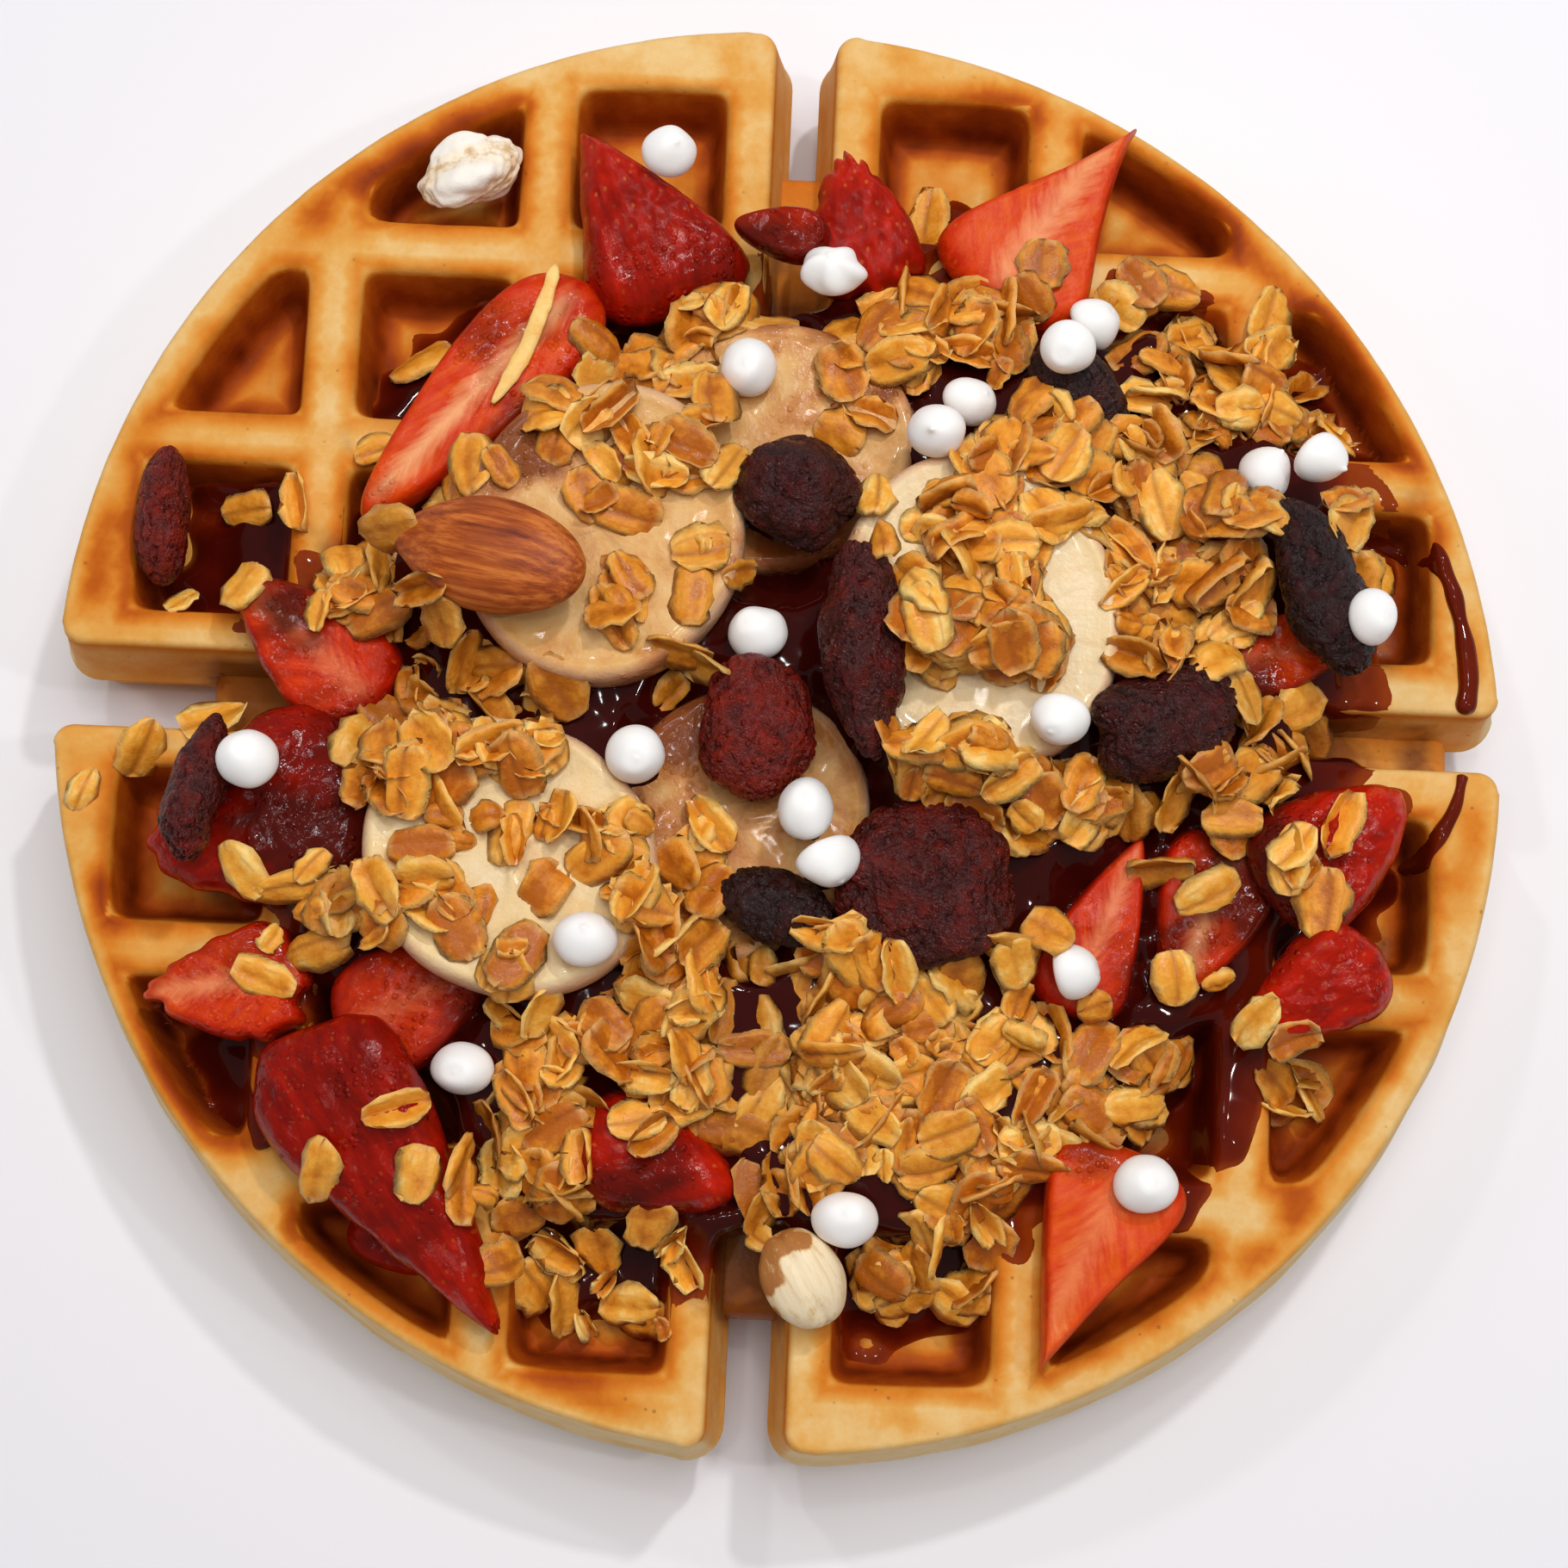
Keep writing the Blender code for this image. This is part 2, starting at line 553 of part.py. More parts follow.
class Pile:
    """Height of all that is laid so far, on a grid, so that the next piece is let down onto it."""

    def __init__(self):
        count = int(2 * GRID_REACH / GRID) + 1
        self.high = np.full((count, count), -1.0)
        self.owner = np.full((count, count), -1)
        self.pieces = []

    def cells(self, low_x, low_y, high_x, high_y):
        """Indices and places of the grid points in a box."""
        last = len(self.high) - 1
        i0, i1 = (max(0, min(last, round((v + GRID_REACH) / GRID))) for v in (low_x, high_x))
        j0, j1 = (max(0, min(last, round((v + GRID_REACH) / GRID))) for v in (low_y, high_y))
        return [(i, j, i * GRID - GRID_REACH, j * GRID - GRID_REACH)
                for i in range(i0, i1 + 1) for j in range(j0, j1 + 1)]

    def box(self, bm):
        """The grid points over which a piece lies."""
        xs = [v.co.x for v in bm.verts]
        ys = [v.co.y for v in bm.verts]
        return self.cells(min(xs), min(ys), max(xs), max(ys))

    def add(self, number, bm):
        """Raises the grid to the top of a piece that now lies there."""
        tree = BVHTree.FromBMesh(bm)
        for i, j, x, y in self.box(bm):
            hit = tree.ray_cast(Vector((x, y, 200)), Vector((0, 0, -1)))[0]
            if hit and hit.z > self.high[i, j]:
                self.high[i, j] = hit.z
                self.owner[i, j] = number

    def add_heap(self, number, bm):
        """The heap fills up between the pieces, and never lies over one."""
        tree = BVHTree.FromBMesh(bm)
        for i, j, x, y in self.box(bm):
            hit = tree.ray_cast(Vector((x, y, 200)), Vector((0, 0, -1)))[0]
            if hit and self.owner[i, j] <= 0:
                self.high[i, j] = hit.z
                self.owner[i, j] = number

    def slope(self, bm, least, most):
        """How the ground under a piece leans, found by fitting a plane, as a turn for the piece."""
        spots = [(x, y, max(least, self.high[i, j])) for i, j, x, y in self.box(bm)]
        spots = np.array(spots)
        table = np.column_stack([spots[:, 0], spots[:, 1], np.ones(len(spots))])
        a, b, _ = np.linalg.lstsq(table, spots[:, 2], rcond=None)[0]
        steep = math.atan(math.hypot(a, b))
        axis = Vector((-b, a, 0))
        if steep < 1e-4:
            return Matrix.Identity(4)
        return Matrix.Rotation(-min(steep, most), 4, axis)

    def rise(self, bm, own, sink):
        """How far a piece moves up to lie GAP above the others and sink into its own piece."""
        tree = BVHTree.FromBMesh(bm)
        best = -1e9
        for i, j, x, y in self.box(bm):
            hit = tree.ray_cast(Vector((x, y, -200)), Vector((0, 0, 1)))[0]
            if hit:
                over = -sink if self.owner[i, j] == own else GAP + 0.1
                best = max(best, self.high[i, j] + over - hit.z)
        return best


def enlarged(bm, by):
    """A copy with its skin moved outwards."""
    copy = bm.copy()
    copy.normal_update()
    for vert in copy.verts:
        vert.co += vert.normal * by
    return copy


def touches(bm, pieces):
    tree = BVHTree.FromBMesh(bm)
    return any(tree.overlap(other) for piece in pieces for other in piece.trees)


def lay(pile, name, kind, bm, x, y, way, least=HEAP_BASE, most=12, lean=None, sink=(None, 0)):
    """Turns a piece, leans it as the ground leans, lets it down and keeps it clear of all others."""
    bmesh.ops.rotate(bm, cent=(0, 0, 0), matrix=Matrix.Rotation(math.radians(way), 3, "Z"), verts=bm.verts)
    bmesh.ops.translate(bm, vec=(x, y, 0), verts=bm.verts)
    turn = lean if lean else pile.slope(bm, least, math.radians(most))
    bmesh.ops.rotate(bm, cent=(x, y, 0), matrix=turn.to_3x3(), verts=bm.verts)
    up = pile.rise(bm, *sink)
    up = max(up, least - min(v.co.z for v in bm.verts))
    bmesh.ops.translate(bm, vec=(0, 0, up), verts=bm.verts)
    near = [piece for number, piece in enumerate(pile.pieces) if number != sink[0]]
    for _ in range(30):
        wide = enlarged(bm, GAP)
        clash = touches(wide, near)
        wide.free()
        if not clash:
            break
        bmesh.ops.translate(bm, vec=(0, 0, 0.2), verts=bm.verts)
    piece = Piece(name, kind, bm)
    pile.pieces.append(piece)
    pile.add(len(pile.pieces) - 1, bm)
    return piece


def lowest_lean(pile, bm, x, y, way, least):
    """The turn that lets a piece's middle lie lowest, of level and four slopes in twelve ways."""
    best, chosen = 1e9, Matrix.Identity(4)
    for steep, k in [(0, 0)] + [(steep, k) for steep in (4, 8, 12, 16) for k in range(12)]:
        a = math.tau * k / 12
        turn = Matrix.Rotation(math.radians(steep), 4, Vector((-math.sin(a), math.cos(a), 0)))
        trial = bm.copy()
        bmesh.ops.rotate(trial, cent=(0, 0, 0), matrix=Matrix.Rotation(math.radians(way), 3, "Z"), verts=trial.verts)
        bmesh.ops.translate(trial, vec=(x, y, 0), verts=trial.verts)
        bmesh.ops.rotate(trial, cent=(x, y, 0), matrix=turn.to_3x3(), verts=trial.verts)
        up = max(pile.rise(trial, None, 0), least - min(v.co.z for v in trial.verts))
        trial.free()
        if up < best:
            best, chosen = up, turn
    return chosen


def lay_fruit(pile):
    """Strawberries on the waffle, then the banana slices on them, from the lowest up. The one in
    a pocket goes first, as another slice lies over it."""
    numbered = sorted(enumerate(STRAWBERRIES), key=lambda entry: entry[1][0] != "strawberry_10")
    for number, (name, x, y, way, length, width, thick, point) in numbered:
        in_pocket = name == "strawberry_10"
        least = POCKET_FLOOR + GAP if in_pocket else HEAP_BASE
        bm = strawberry(length, width, thick, point, number)
        lean = Matrix.Identity(4) if in_pocket else None
        if name in LEANING:
            lean = lowest_lean(pile, bm, x, y, way, least)
        lay(pile, name, "strawberry", bm, x, y, way, least, lean=lean)
    for name, x, y, way, length, width, least in BANANAS:
        lay(pile, name, "banana", banana(length, width), x, y, way, least, most=7)


def lay_small_pieces(pile, heap):
    """What lies on the fruit and on the heap, into which it sinks a little."""
    for number, (name, x, y, way, length, width, thick) in enumerate(DRIED_FRUIT):
        lay(pile, name, name.split("_")[0], dried(length, width, thick, 7 * number), x, y, way,
            POCKET_FLOOR + GAP, 20, sink=(heap, DRIED_SINK))
    x, y, way, *size = ALMOND
    lay(pile, "almond", "almond", almond(*size), x, y, way, sink=(heap, DRIED_SINK))
    x, y, way, *size = HAZELNUT
    lay(pile, "hazelnut", "hazelnut", dried(*size, 61), x, y, way, POCKET_FLOOR, sink=(heap, DRIED_SINK))
    x, y, way, *size = POPPED
    lay(pile, "popped_cluster", "popped", dried(*size, 83), x, y, way, POCKET_FLOOR)
    for number, (x, y, way, lean) in enumerate(DROPS):
        axis = Vector((-math.sin(math.radians(way)), math.cos(math.radians(way)), 0))
        turn = Matrix.Rotation(math.radians(lean), 4, axis)
        lay(pile, f"white_drop_{number + 1:02d}", "white_drop", drop(), x, y, 0, POCKET_FLOOR,
            lean=turn, sink=(heap, DROP_SINK))


def lay_flake(pile, draw, x, y, way, takers):
    """Lets one flake down at a place and fuses it to the piece it lies on, or skips it."""
    i, j = round((x + GRID_REACH) / GRID), round((y + GRID_REACH) / GRID)
    own = int(pile.owner[i, j])
    if own not in takers:
        return False
    length = draw.uniform(*FLAKE_LONG)
    bm = flake(length, length * draw.uniform(*FLAKE_WIDE))
    tilt = Matrix.Rotation(math.radians(draw.uniform(-16, 16)), 3, "X")
    bmesh.ops.rotate(bm, cent=(0, 0, 0), matrix=tilt, verts=bm.verts)
    bmesh.ops.rotate(bm, cent=(0, 0, 0), matrix=Matrix.Rotation(math.radians(way), 3, "Z"), verts=bm.verts)
    bmesh.ops.translate(bm, vec=(x, y, 0), verts=bm.verts)
    turn = pile.slope(bm, POCKET_FLOOR, math.radians(25))
    bmesh.ops.rotate(bm, cent=(x, y, 0), matrix=turn.to_3x3(), verts=bm.verts)
    bmesh.ops.translate(bm, vec=(0, 0, pile.rise(bm, own, FLAKE_SINK)), verts=bm.verts)
    wide = enlarged(bm, GAP)
    others = [piece for number, piece in enumerate(pile.pieces) if number != own]
    clash = touches(wide, others)
    wide.free()
    target = pile.pieces[own]
    if clash or not touches(bm, [target]):
        bm.free()
        return False
    target.flakes.append(bm)
    target.trees.append(BVHTree.FromBMesh(bm))
    pile.add(own, bm)
    return True


def scatter_flakes(pile):
    """Oat flakes, those that lie apart first, then each field with an even spread."""
    draw = random.Random(4)
    takers = [number for number, piece in enumerate(pile.pieces)
              if piece.kind in ("waffle", "granola", "strawberry", "banana")]
    taken = []
    for x, y, way in FLAKES_APART:
        lay_flake(pile, draw, x, y, way, takers)
    for x, y, spread_x, spread_y, count in FLAKE_FIELDS:
        laid = 0
        for _ in range(6 * count):
            place = (draw.gauss(x, spread_x), draw.gauss(y, spread_y))
            crowded = any(math.dist(place, other) < FLAKE_SPACING for other in taken)
            if laid < count and not crowded and lay_flake(pile, draw, *place, draw.uniform(0, 180), takers):
                taken.append(place)
                laid += 1


def room_for(bm):
    """The space that a piece takes from the heap, so that nothing of the heap lies over it: a
    prism round it with few sides, whose flat floor runs just under the piece."""
    wide = enlarged(bm, GAP)
    points = np.array([v.co[:] for v in wide.verts])
    wide.free()
    ways = [math.tau * k / ROOM_SIDES for k in range(ROOM_SIDES)]
    reach = [max(points[:, 0] * math.cos(a) + points[:, 1] * math.sin(a)) for a in ways]
    ring = []
    for k, a in enumerate(ways):
        b, far = ways[(k + 1) % ROOM_SIDES], reach[(k + 1) % ROOM_SIDES]
        cross = math.sin(b - a)
        ring.append(((reach[k] * math.sin(b) - far * math.sin(a)) / cross,
                     (far * math.cos(a) - reach[k] * math.cos(b)) / cross))
    table = np.column_stack([points[:, 0], points[:, 1], np.ones(len(points))])
    lean_x, lean_y, _ = np.linalg.lstsq(table, points[:, 2], rcond=None)[0]
    under = min(points[:, 2] - lean_x * points[:, 0] - lean_y * points[:, 1])
    return loft([[(x, y, under + lean_x * x + lean_y * y) for x, y in ring],
                 [(x, y, SKY) for x, y in ring]])


def heap_body(parts):
    """The heap before the other pieces are let into it: its dome, the syrup in the pockets round
    it, and the plugs in those pockets that join the two."""
    body = object_of("granola_heap", heap_core(), parts)
    pools = new_collection("pools", hidden=True)
    blocks_in_pockets("syrup", SYRUP_POCKETS, POCKET_FLOOR + GAP, SYRUP_LEVEL, GAP, pools)
    plugs = blocks_in_pockets("plugs", SYRUP_POCKETS, POCKET_FLOOR + 2 * GAP, HEAP_BASE + 1, 2 * GAP,
                              pools)
    reach = new_collection("reach", hidden=True)
    object_of("under_heap", loft([heap_ring(PLUG_REACH, 0), heap_ring(PLUG_REACH, SKY)]), reach)
    boolean(plugs, reach, "INTERSECT")
    boolean(body, pools, "UNION")
    return body


def finish(piece, obj):
    """Fuses a piece's flakes to it and gives it its material."""
    if piece.flakes:
        flakes = new_collection("flakes", hidden=True)
        for bm in piece.flakes:
            object_of("flake", bm, flakes)
        boolean(obj, flakes, "UNION")
    keep_largest_body(obj)
    obj.data.materials.clear()
    obj.data.materials.append(material(piece.kind))
    obj.data.shade_smooth()
    obj.data.set_sharp_from_angle(angle=math.radians(35))


def belgian_waffle():
    clear_scene()
    parts = new_collection("belgian_waffle")
    base = waffle(parts)
    pile = Pile()
    pile.pieces.append(Piece("waffle", "waffle", bmesh_of(base)))
    pile.add(0, pile.pieces[0].bm)
    lay_fruit(pile)
    heap = heap_body(parts)
    heap_number = len(pile.pieces)
    pile.pieces.append(Piece("granola_heap", "granola", bmesh_of(heap)))
    pile.add_heap(heap_number, pile.pieces[heap_number].bm)
    lay_small_pieces(pile, heap_number)
    loose = [piece for piece in pile.pieces if piece.kind not in ("waffle", "granola")]
    rooms = new_collection("rooms", hidden=True)
    for piece in loose:
        object_of("room", room_for(piece.bm), rooms)
    boolean(heap, rooms, "DIFFERENCE")
    keep_largest_body(heap)
    pile.pieces[heap_number].bm = bmesh_of(heap)
    pile.pieces[heap_number].read()
    scatter_flakes(pile)
    objects = {"waffle": base, "granola_heap": heap}
    for piece in loose:
        objects[piece.name] = object_of(piece.name, piece.bm, parts)
    for piece in pile.pieces:
        finish(piece, objects[piece.name])


belgian_waffle()
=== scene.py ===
# %% [markdown]
# A belgian waffle was modelled and packed before as plain solids, one for each separate
# piece of food. This script dresses those solids. It never moves them: each new piece is
# worked out at the place of the solid it stands for, so the frame is loaded first.

# %% Load the imported frame
import math

import bpy
import numpy as np
from mathutils import Matrix, Vector
from mathutils.bvhtree import BVHTree
from mathutils.geometry import delaunay_2d_cdt


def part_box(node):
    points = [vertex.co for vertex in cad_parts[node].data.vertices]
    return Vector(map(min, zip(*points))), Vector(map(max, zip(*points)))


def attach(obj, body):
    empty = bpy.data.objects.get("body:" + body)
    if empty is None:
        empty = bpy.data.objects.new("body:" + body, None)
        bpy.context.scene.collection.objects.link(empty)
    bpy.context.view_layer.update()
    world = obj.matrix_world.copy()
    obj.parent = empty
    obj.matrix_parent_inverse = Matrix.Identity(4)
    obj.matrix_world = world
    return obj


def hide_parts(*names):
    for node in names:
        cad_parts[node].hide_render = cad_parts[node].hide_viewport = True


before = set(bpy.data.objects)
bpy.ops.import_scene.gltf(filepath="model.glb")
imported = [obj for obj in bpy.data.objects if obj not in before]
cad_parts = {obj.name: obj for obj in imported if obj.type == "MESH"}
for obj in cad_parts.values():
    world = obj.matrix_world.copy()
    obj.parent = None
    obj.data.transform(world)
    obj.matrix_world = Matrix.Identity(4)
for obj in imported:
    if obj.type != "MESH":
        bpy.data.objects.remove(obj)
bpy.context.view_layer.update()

MM = 0.001

# %% [markdown]
# Food is uneven at every scale. One helper gives smooth unevenness anywhere: it adds sine
# waves that run in random directions, so the result has no grid and no edges, and a seed
# makes it the same at every run. A second helper eases a value from 0 to 1.

# %% Smooth unevenness
def ripple(points, size, seed, waves=12):
    """Uneven field of about -1 to 1 at points (..., 2 or 3): the mean of sin(k . p + start) over
    waves whose directions are random and whose lengths lie round size."""
    points = np.asarray(points, float)
    draw = np.random.default_rng(seed)
    ways = draw.normal(size=(waves, points.shape[-1]))
    ways /= np.linalg.norm(ways, axis=1, keepdims=True)
    ways *= (math.tau / (size * draw.uniform(0.6, 1.7, waves)))[:, None]
    return np.sin(points @ ways.T + draw.uniform(0, math.tau, waves)).mean(-1) * math.sqrt(waves) / 1.3


def ease(value, low, high):
    """0 below low, 1 above high, and 3t^2 - 2t^3 between, with t = (value - low) / (high - low)."""
    t = np.clip((np.asarray(value, float) - low) / (high - low), 0, 1)
    return t * t * (3 - 2 * t)


# %% [markdown]
# Every shape is a net of points worked out as whole arrays in millimetres. The next helpers
# turn such a net into a mesh: quads between rings, a fan of triangles at each pole, and
# named values at the points, which the materials read as patterns that follow the surface.

# %% From arrays to meshes
def ring_quads(rings, around, first=0):
    """Quads between neighbouring rings; they face outwards when rings rise and run anticlockwise."""
    k, i = np.meshgrid(np.arange(rings - 1), np.arange(around), indexing="ij")
    a, b = k * around + i, k * around + (i + 1) % around
    return first + np.stack([a, b, b + around, a + around], -1).reshape(-1, 4)


def pole_fans(rings, around):
    """Triangles from the first and the last ring to the two poles, the last two points of the net."""
    i = np.arange(around)
    j = (i + 1) % around
    low, high, last = rings * around, rings * around + 1, (rings - 1) * around
    return np.concatenate([np.stack([j, i, np.full(around, low)], -1),
                           np.stack([last + i, last + j, np.full(around, high)], -1)])


def turns(count):
    """That many angles, evenly round a circle."""
    return np.arange(count) / count * math.tau


def shell(net, low_pole=None, high_pole=None):
    """Points and faces of a closed shell through a net (rings, around, 3) and its two poles. A pole
    that isn't named lies in the middle of its ring."""
    rings, around = net.shape[:2]
    low_pole = net[0].mean(0) if low_pole is None else low_pole
    high_pole = net[-1].mean(0) if high_pole is None else high_pole
    points = np.concatenate([net.reshape(-1, 3), [low_pole], [high_pole]])
    return points, [ring_quads(rings, around), pole_fans(rings, around)]


def together(shells):
    """Several shells as one: their points one after another, their faces counted on."""
    points, faces, first = [], [], 0
    for part, sides in shells:
        points.append(part)
        faces += [f + first for f in sides]
        first += len(part)
    return np.concatenate(points), faces


def mesh_from(name, points, faces, values=None):
    """A mesh from points in millimetres, face arrays of three or four corners each, and named
    values at the points, of one number or three."""
    mesh = bpy.data.meshes.new(name)
    mesh.vertices.add(len(points))
    mesh.vertices.foreach_set("co", (points * MM).astype(np.float32).ravel())
    corners = np.concatenate([f.ravel() for f in faces])
    sizes = np.concatenate([np.full(len(f), f.shape[1]) for f in faces])
    mesh.loops.add(len(corners))
    mesh.loops.foreach_set("vertex_index", corners.astype(np.int32))
    mesh.polygons.add(len(sizes))
    mesh.polygons.foreach_set("loop_start", np.concatenate([[0], np.cumsum(sizes)[:-1]]).astype(np.int32))
    mesh.update(calc_edges=True)
    for key, value in (values or {}).items():
        value = np.broadcast_to(np.asarray(value, np.float32), (len(points),) + np.shape(value)[1:])
        kind, field = ("FLOAT", "value") if value.ndim == 1 else ("FLOAT_VECTOR", "vector")
        layer = mesh.attributes.new(key, kind, "POINT")
        layer.data.foreach_set(field, np.ascontiguousarray(value).ravel())
    mesh.shade_smooth()
    return mesh


def add(name, data):
    """A new object in the scene."""
    obj = bpy.data.objects.new(name, data)
    bpy.context.scene.collection.objects.link(obj)
    return obj


def put(name, mesh, look, slot, *nodes):
    """A finished piece: it rides on the one body and stands for these nodes; slot is not used."""
    obj = add(name, mesh)
    mesh.materials.append(look)
    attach(obj, "root")
    if nodes:
        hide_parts(*nodes)
    return obj


# %% [markdown]
# Materials are small networks of nodes. A wrapper keeps them readable: it makes a node, sets
# its plain values, and links whatever is handed in as another node's output.

# %% A short way to write materials
class Look:
    """A material under construction; each call adds a node and gives back its output."""

    def __init__(self, name, **plain):
        self.material = bpy.data.materials.new(name)
        self.material.use_nodes = True
        self.tree = self.material.node_tree
        self.shader = self.tree.nodes["Principled BSDF"]
        self.set(self.shader, plain)

    def set(self, node, values):
        """Links an output to the named input, or sets a plain number or colour on it."""
        for key, value in values.items():
            socket = node.inputs[key if isinstance(key, int) else key.replace("_", " ")]
            if isinstance(value, bpy.types.NodeSocket):
                self.tree.links.new(value, socket)
            elif socket.type == "RGBA" and len(value) == 3:
                socket.default_value = (*value, 1)
            else:
                socket.default_value = value

    def node(self, kind, output, values, **settings):
        """A new node with its inputs and settings; gives the named output."""
        made = self.tree.nodes.new(kind)
        for key, value in settings.items():
            setattr(made, key, value)
        self.set(made, values)
        return made.outputs[output]

    def value(self, name):
        """A number that the mesh carries at its points."""
        return self.node("ShaderNodeAttribute", "Fac", {}, attribute_name=name)

    def place(self, name):
        """Three numbers that the mesh carries at its points."""
        return self.node("ShaderNodeAttribute", "Vector", {}, attribute_name=name)

    def space(self):
        """The point's own place, in metres."""
        return self.node("ShaderNodeTexCoord", "Object", {})

    def stretch(self, vector, scale):
        """The vector times a scale for each axis."""
        return self.node("ShaderNodeMapping", "Vector", {"Vector": vector, "Scale": scale})

    def noise(self, vector, scale, detail=4, rough=0.55, warp=0.0):
        return self.node("ShaderNodeTexNoise", "Fac", {"Vector": vector, "Scale": scale, "Detail": detail,
                                                       "Roughness": rough, "Distortion": warp})

    def cells(self, vector, scale):
        """Distance to the nearest of scattered points."""
        return self.node("ShaderNodeTexVoronoi", "Distance", {"Vector": vector, "Scale": scale})

    def math(self, how, a, b=0.5, c=0.5, clamp=False):
        return self.node("ShaderNodeMath", 0, {0: a, 1: b, 2: c}, operation=how, use_clamp=clamp)

    def times(self, a, b, **more):
        return self.math("MULTIPLY", a, b, **more)

    def plus(self, a, b, **more):
        return self.math("ADD", a, b, **more)

    def minus(self, a, b, **more):
        return self.math("SUBTRACT", a, b, **more)

    def centred(self, value, strength):
        """A pattern of 0 to 1 made to swing about 0: (value - 0.5) strength."""
        return self.times(self.minus(value, 0.5), strength)

    def split(self, vector):
        """The three numbers of a vector."""
        made = self.node("ShaderNodeSeparateXYZ", "X", {"Vector": vector}).node
        return [made.outputs[axis] for axis in "XYZ"]

    def join(self, x=0.0, y=0.0, z=0.0):
        """A vector of three numbers."""
        return self.node("ShaderNodeCombineXYZ", "Vector", {"X": x, "Y": y, "Z": z})

    def span(self, value, low, high, to_low=0.0, to_high=1.0):
        """Maps low..high to to_low..to_high, held at the ends."""
        return self.node("ShaderNodeMapRange", "Result", {"Value": value, "From Min": low, "From Max": high,
                                                          "To Min": to_low, "To Max": to_high}, clamp=True)

    def ramp(self, value, *stops):
        """The colour at that value, mixed from the stops on either side of it."""
        made = self.tree.nodes.new("ShaderNodeValToRGB")
        self.tree.links.new(value, made.inputs[0])
        band = made.color_ramp
        for at, _ in stops[2:]:
            band.elements.new(at)
        for element, (at, _) in zip(band.elements, sorted(stops)):
            element.position = at
        for element, (_, colour) in zip(band.elements, sorted(stops)):
            element.color = (*colour, 1)
        return made.outputs["Color"]

    def blend(self, share, a, b):
        """Colour a where share is 0 and colour b where it is 1."""
        made = self.tree.nodes.new("ShaderNodeMix")
        made.data_type = "RGBA"
        for socket, value in ((made.inputs[0], share), (made.inputs[6], a), (made.inputs[7], b)):
            if isinstance(value, bpy.types.NodeSocket):
                self.tree.links.new(value, socket)
            else:
                socket.default_value = (*value, 1) if isinstance(value, tuple) else value
        return made.outputs[2]

    def tint(self, colour, share, most, other):
        """The colour moved towards another one by share, and at most so far."""
        return self.blend(self.times(share, most), colour, other)

    def bump(self, height, depth_mm, strength=1.0, under=None):
        values = {"Height": height, "Distance": depth_mm * MM, "Strength": strength}
        if under is not None:
            values["Normal"] = under
        return self.node("ShaderNodeBump", "Normal", values)

    def beads(self, per_metre, from_noise, wet, under):
        """Small drops: domes 1 - (d / 0.42)^2 round scattered points, where a noise is high."""
        away = self.cells(self.space(), per_metre)
        dome = self.minus(1.0, self.times(self.times(away, away), 5.7), clamp=True)
        here = self.span(self.noise(self.space(), 230, 2, 0.5), from_noise, from_noise + 0.06)
        return self.bump(self.times(self.times(dome, here), wet), 0.24, 1.0, under)

    def finish(self, **values):
        self.set(self.shader, values)
        return self.material


# %% [markdown]
# The waffle comes from an iron whose two halves meet at mid-height. Its four quarters are
# parted by slots and joined by a strip of batter deep in them, and each quarter has eight
# pockets on either face. The sizes here are those of the solid it stands for.

# %% Sizes of the waffle
THICK, RADIUS, OUT_OF_ROUND, LONG_WAY = 25.0, 89.3, 1.2, math.radians(135)
SLOT = {"right": 1.3, "top": 1.75, "left": 2.9, "bottom": 2.6}
WEB_REACH = {"right": 83, "top": 72, "left": 70, "bottom": 72}
WEB_HIGH, WEB_OVERLAP, RIM_CORNER, INNER_CORNER = 6.0, 2.0, 4.5, 3.6
POCKET, PITCH, START, DEEP, LIMIT = 19.0, 25.3, 9.4, 9.5, 84.0
POCKET_AROUND, JOINED_REACH = 96, 72
FLOOR = THICK - DEEP

# How the rounded edge and the drafted side run: how far in from the widest line, and height
SIDE = np.array([(2.9, 25.0), (2.62, 24.93), (2.35, 24.72), (2.12, 24.38), (2.0, 23.9), (1.72, 21.9),
                 (1.36, 19.4), (0.98, 17.0), (0.64, 14.9), (0.42, 13.5), (0.1, 12.95), (0.0, 12.5)])
SIDE = np.concatenate([SIDE, (SIDE * (1, -1) + (0, THICK))[-2::-1]])

# How a pocket runs: how far in from its edge, and height
POCKET_SIDE = np.array([
    (-0.9, 25.0), (-0.6, 24.93), (-0.3, 24.74), (-0.05, 24.42), (0.14, 23.95), (0.3, 23.3),
    (0.62, 21.6), (0.98, 19.8), (1.3, 18.2), (1.52, 17.1), (1.75, 16.4), (2.1, 15.85), (2.7, 15.58),
    (3.5, 15.5)])
print("the waffle is", 2 * (RADIUS + OUT_OF_ROUND), "mm the long way and", THICK, "mm thick")

# %% [markdown]
# The outline of a quarter is one closed line: two straight sides along the slots, a long
# round side at the rim and three rounded corners. Moved inwards step by step, it gives the
# rings from which the side wall is made.

# %% Outline of a quarter
def rim_radius(angle):
    """R + d cos 2(angle - long way): a little longer one way than across it."""
    return RADIUS + OUT_OF_ROUND * np.cos(2 * (angle - LONG_WAY))


def bend(centre, radius, start, end, steps):
    """Points centre + radius (cos a, sin a) for a from start to end, without the last."""
    a = start + (end - start) * np.arange(steps)[:, None] / steps
    return np.asarray(centre) + radius * np.concatenate([np.cos(a), np.sin(a)], -1)


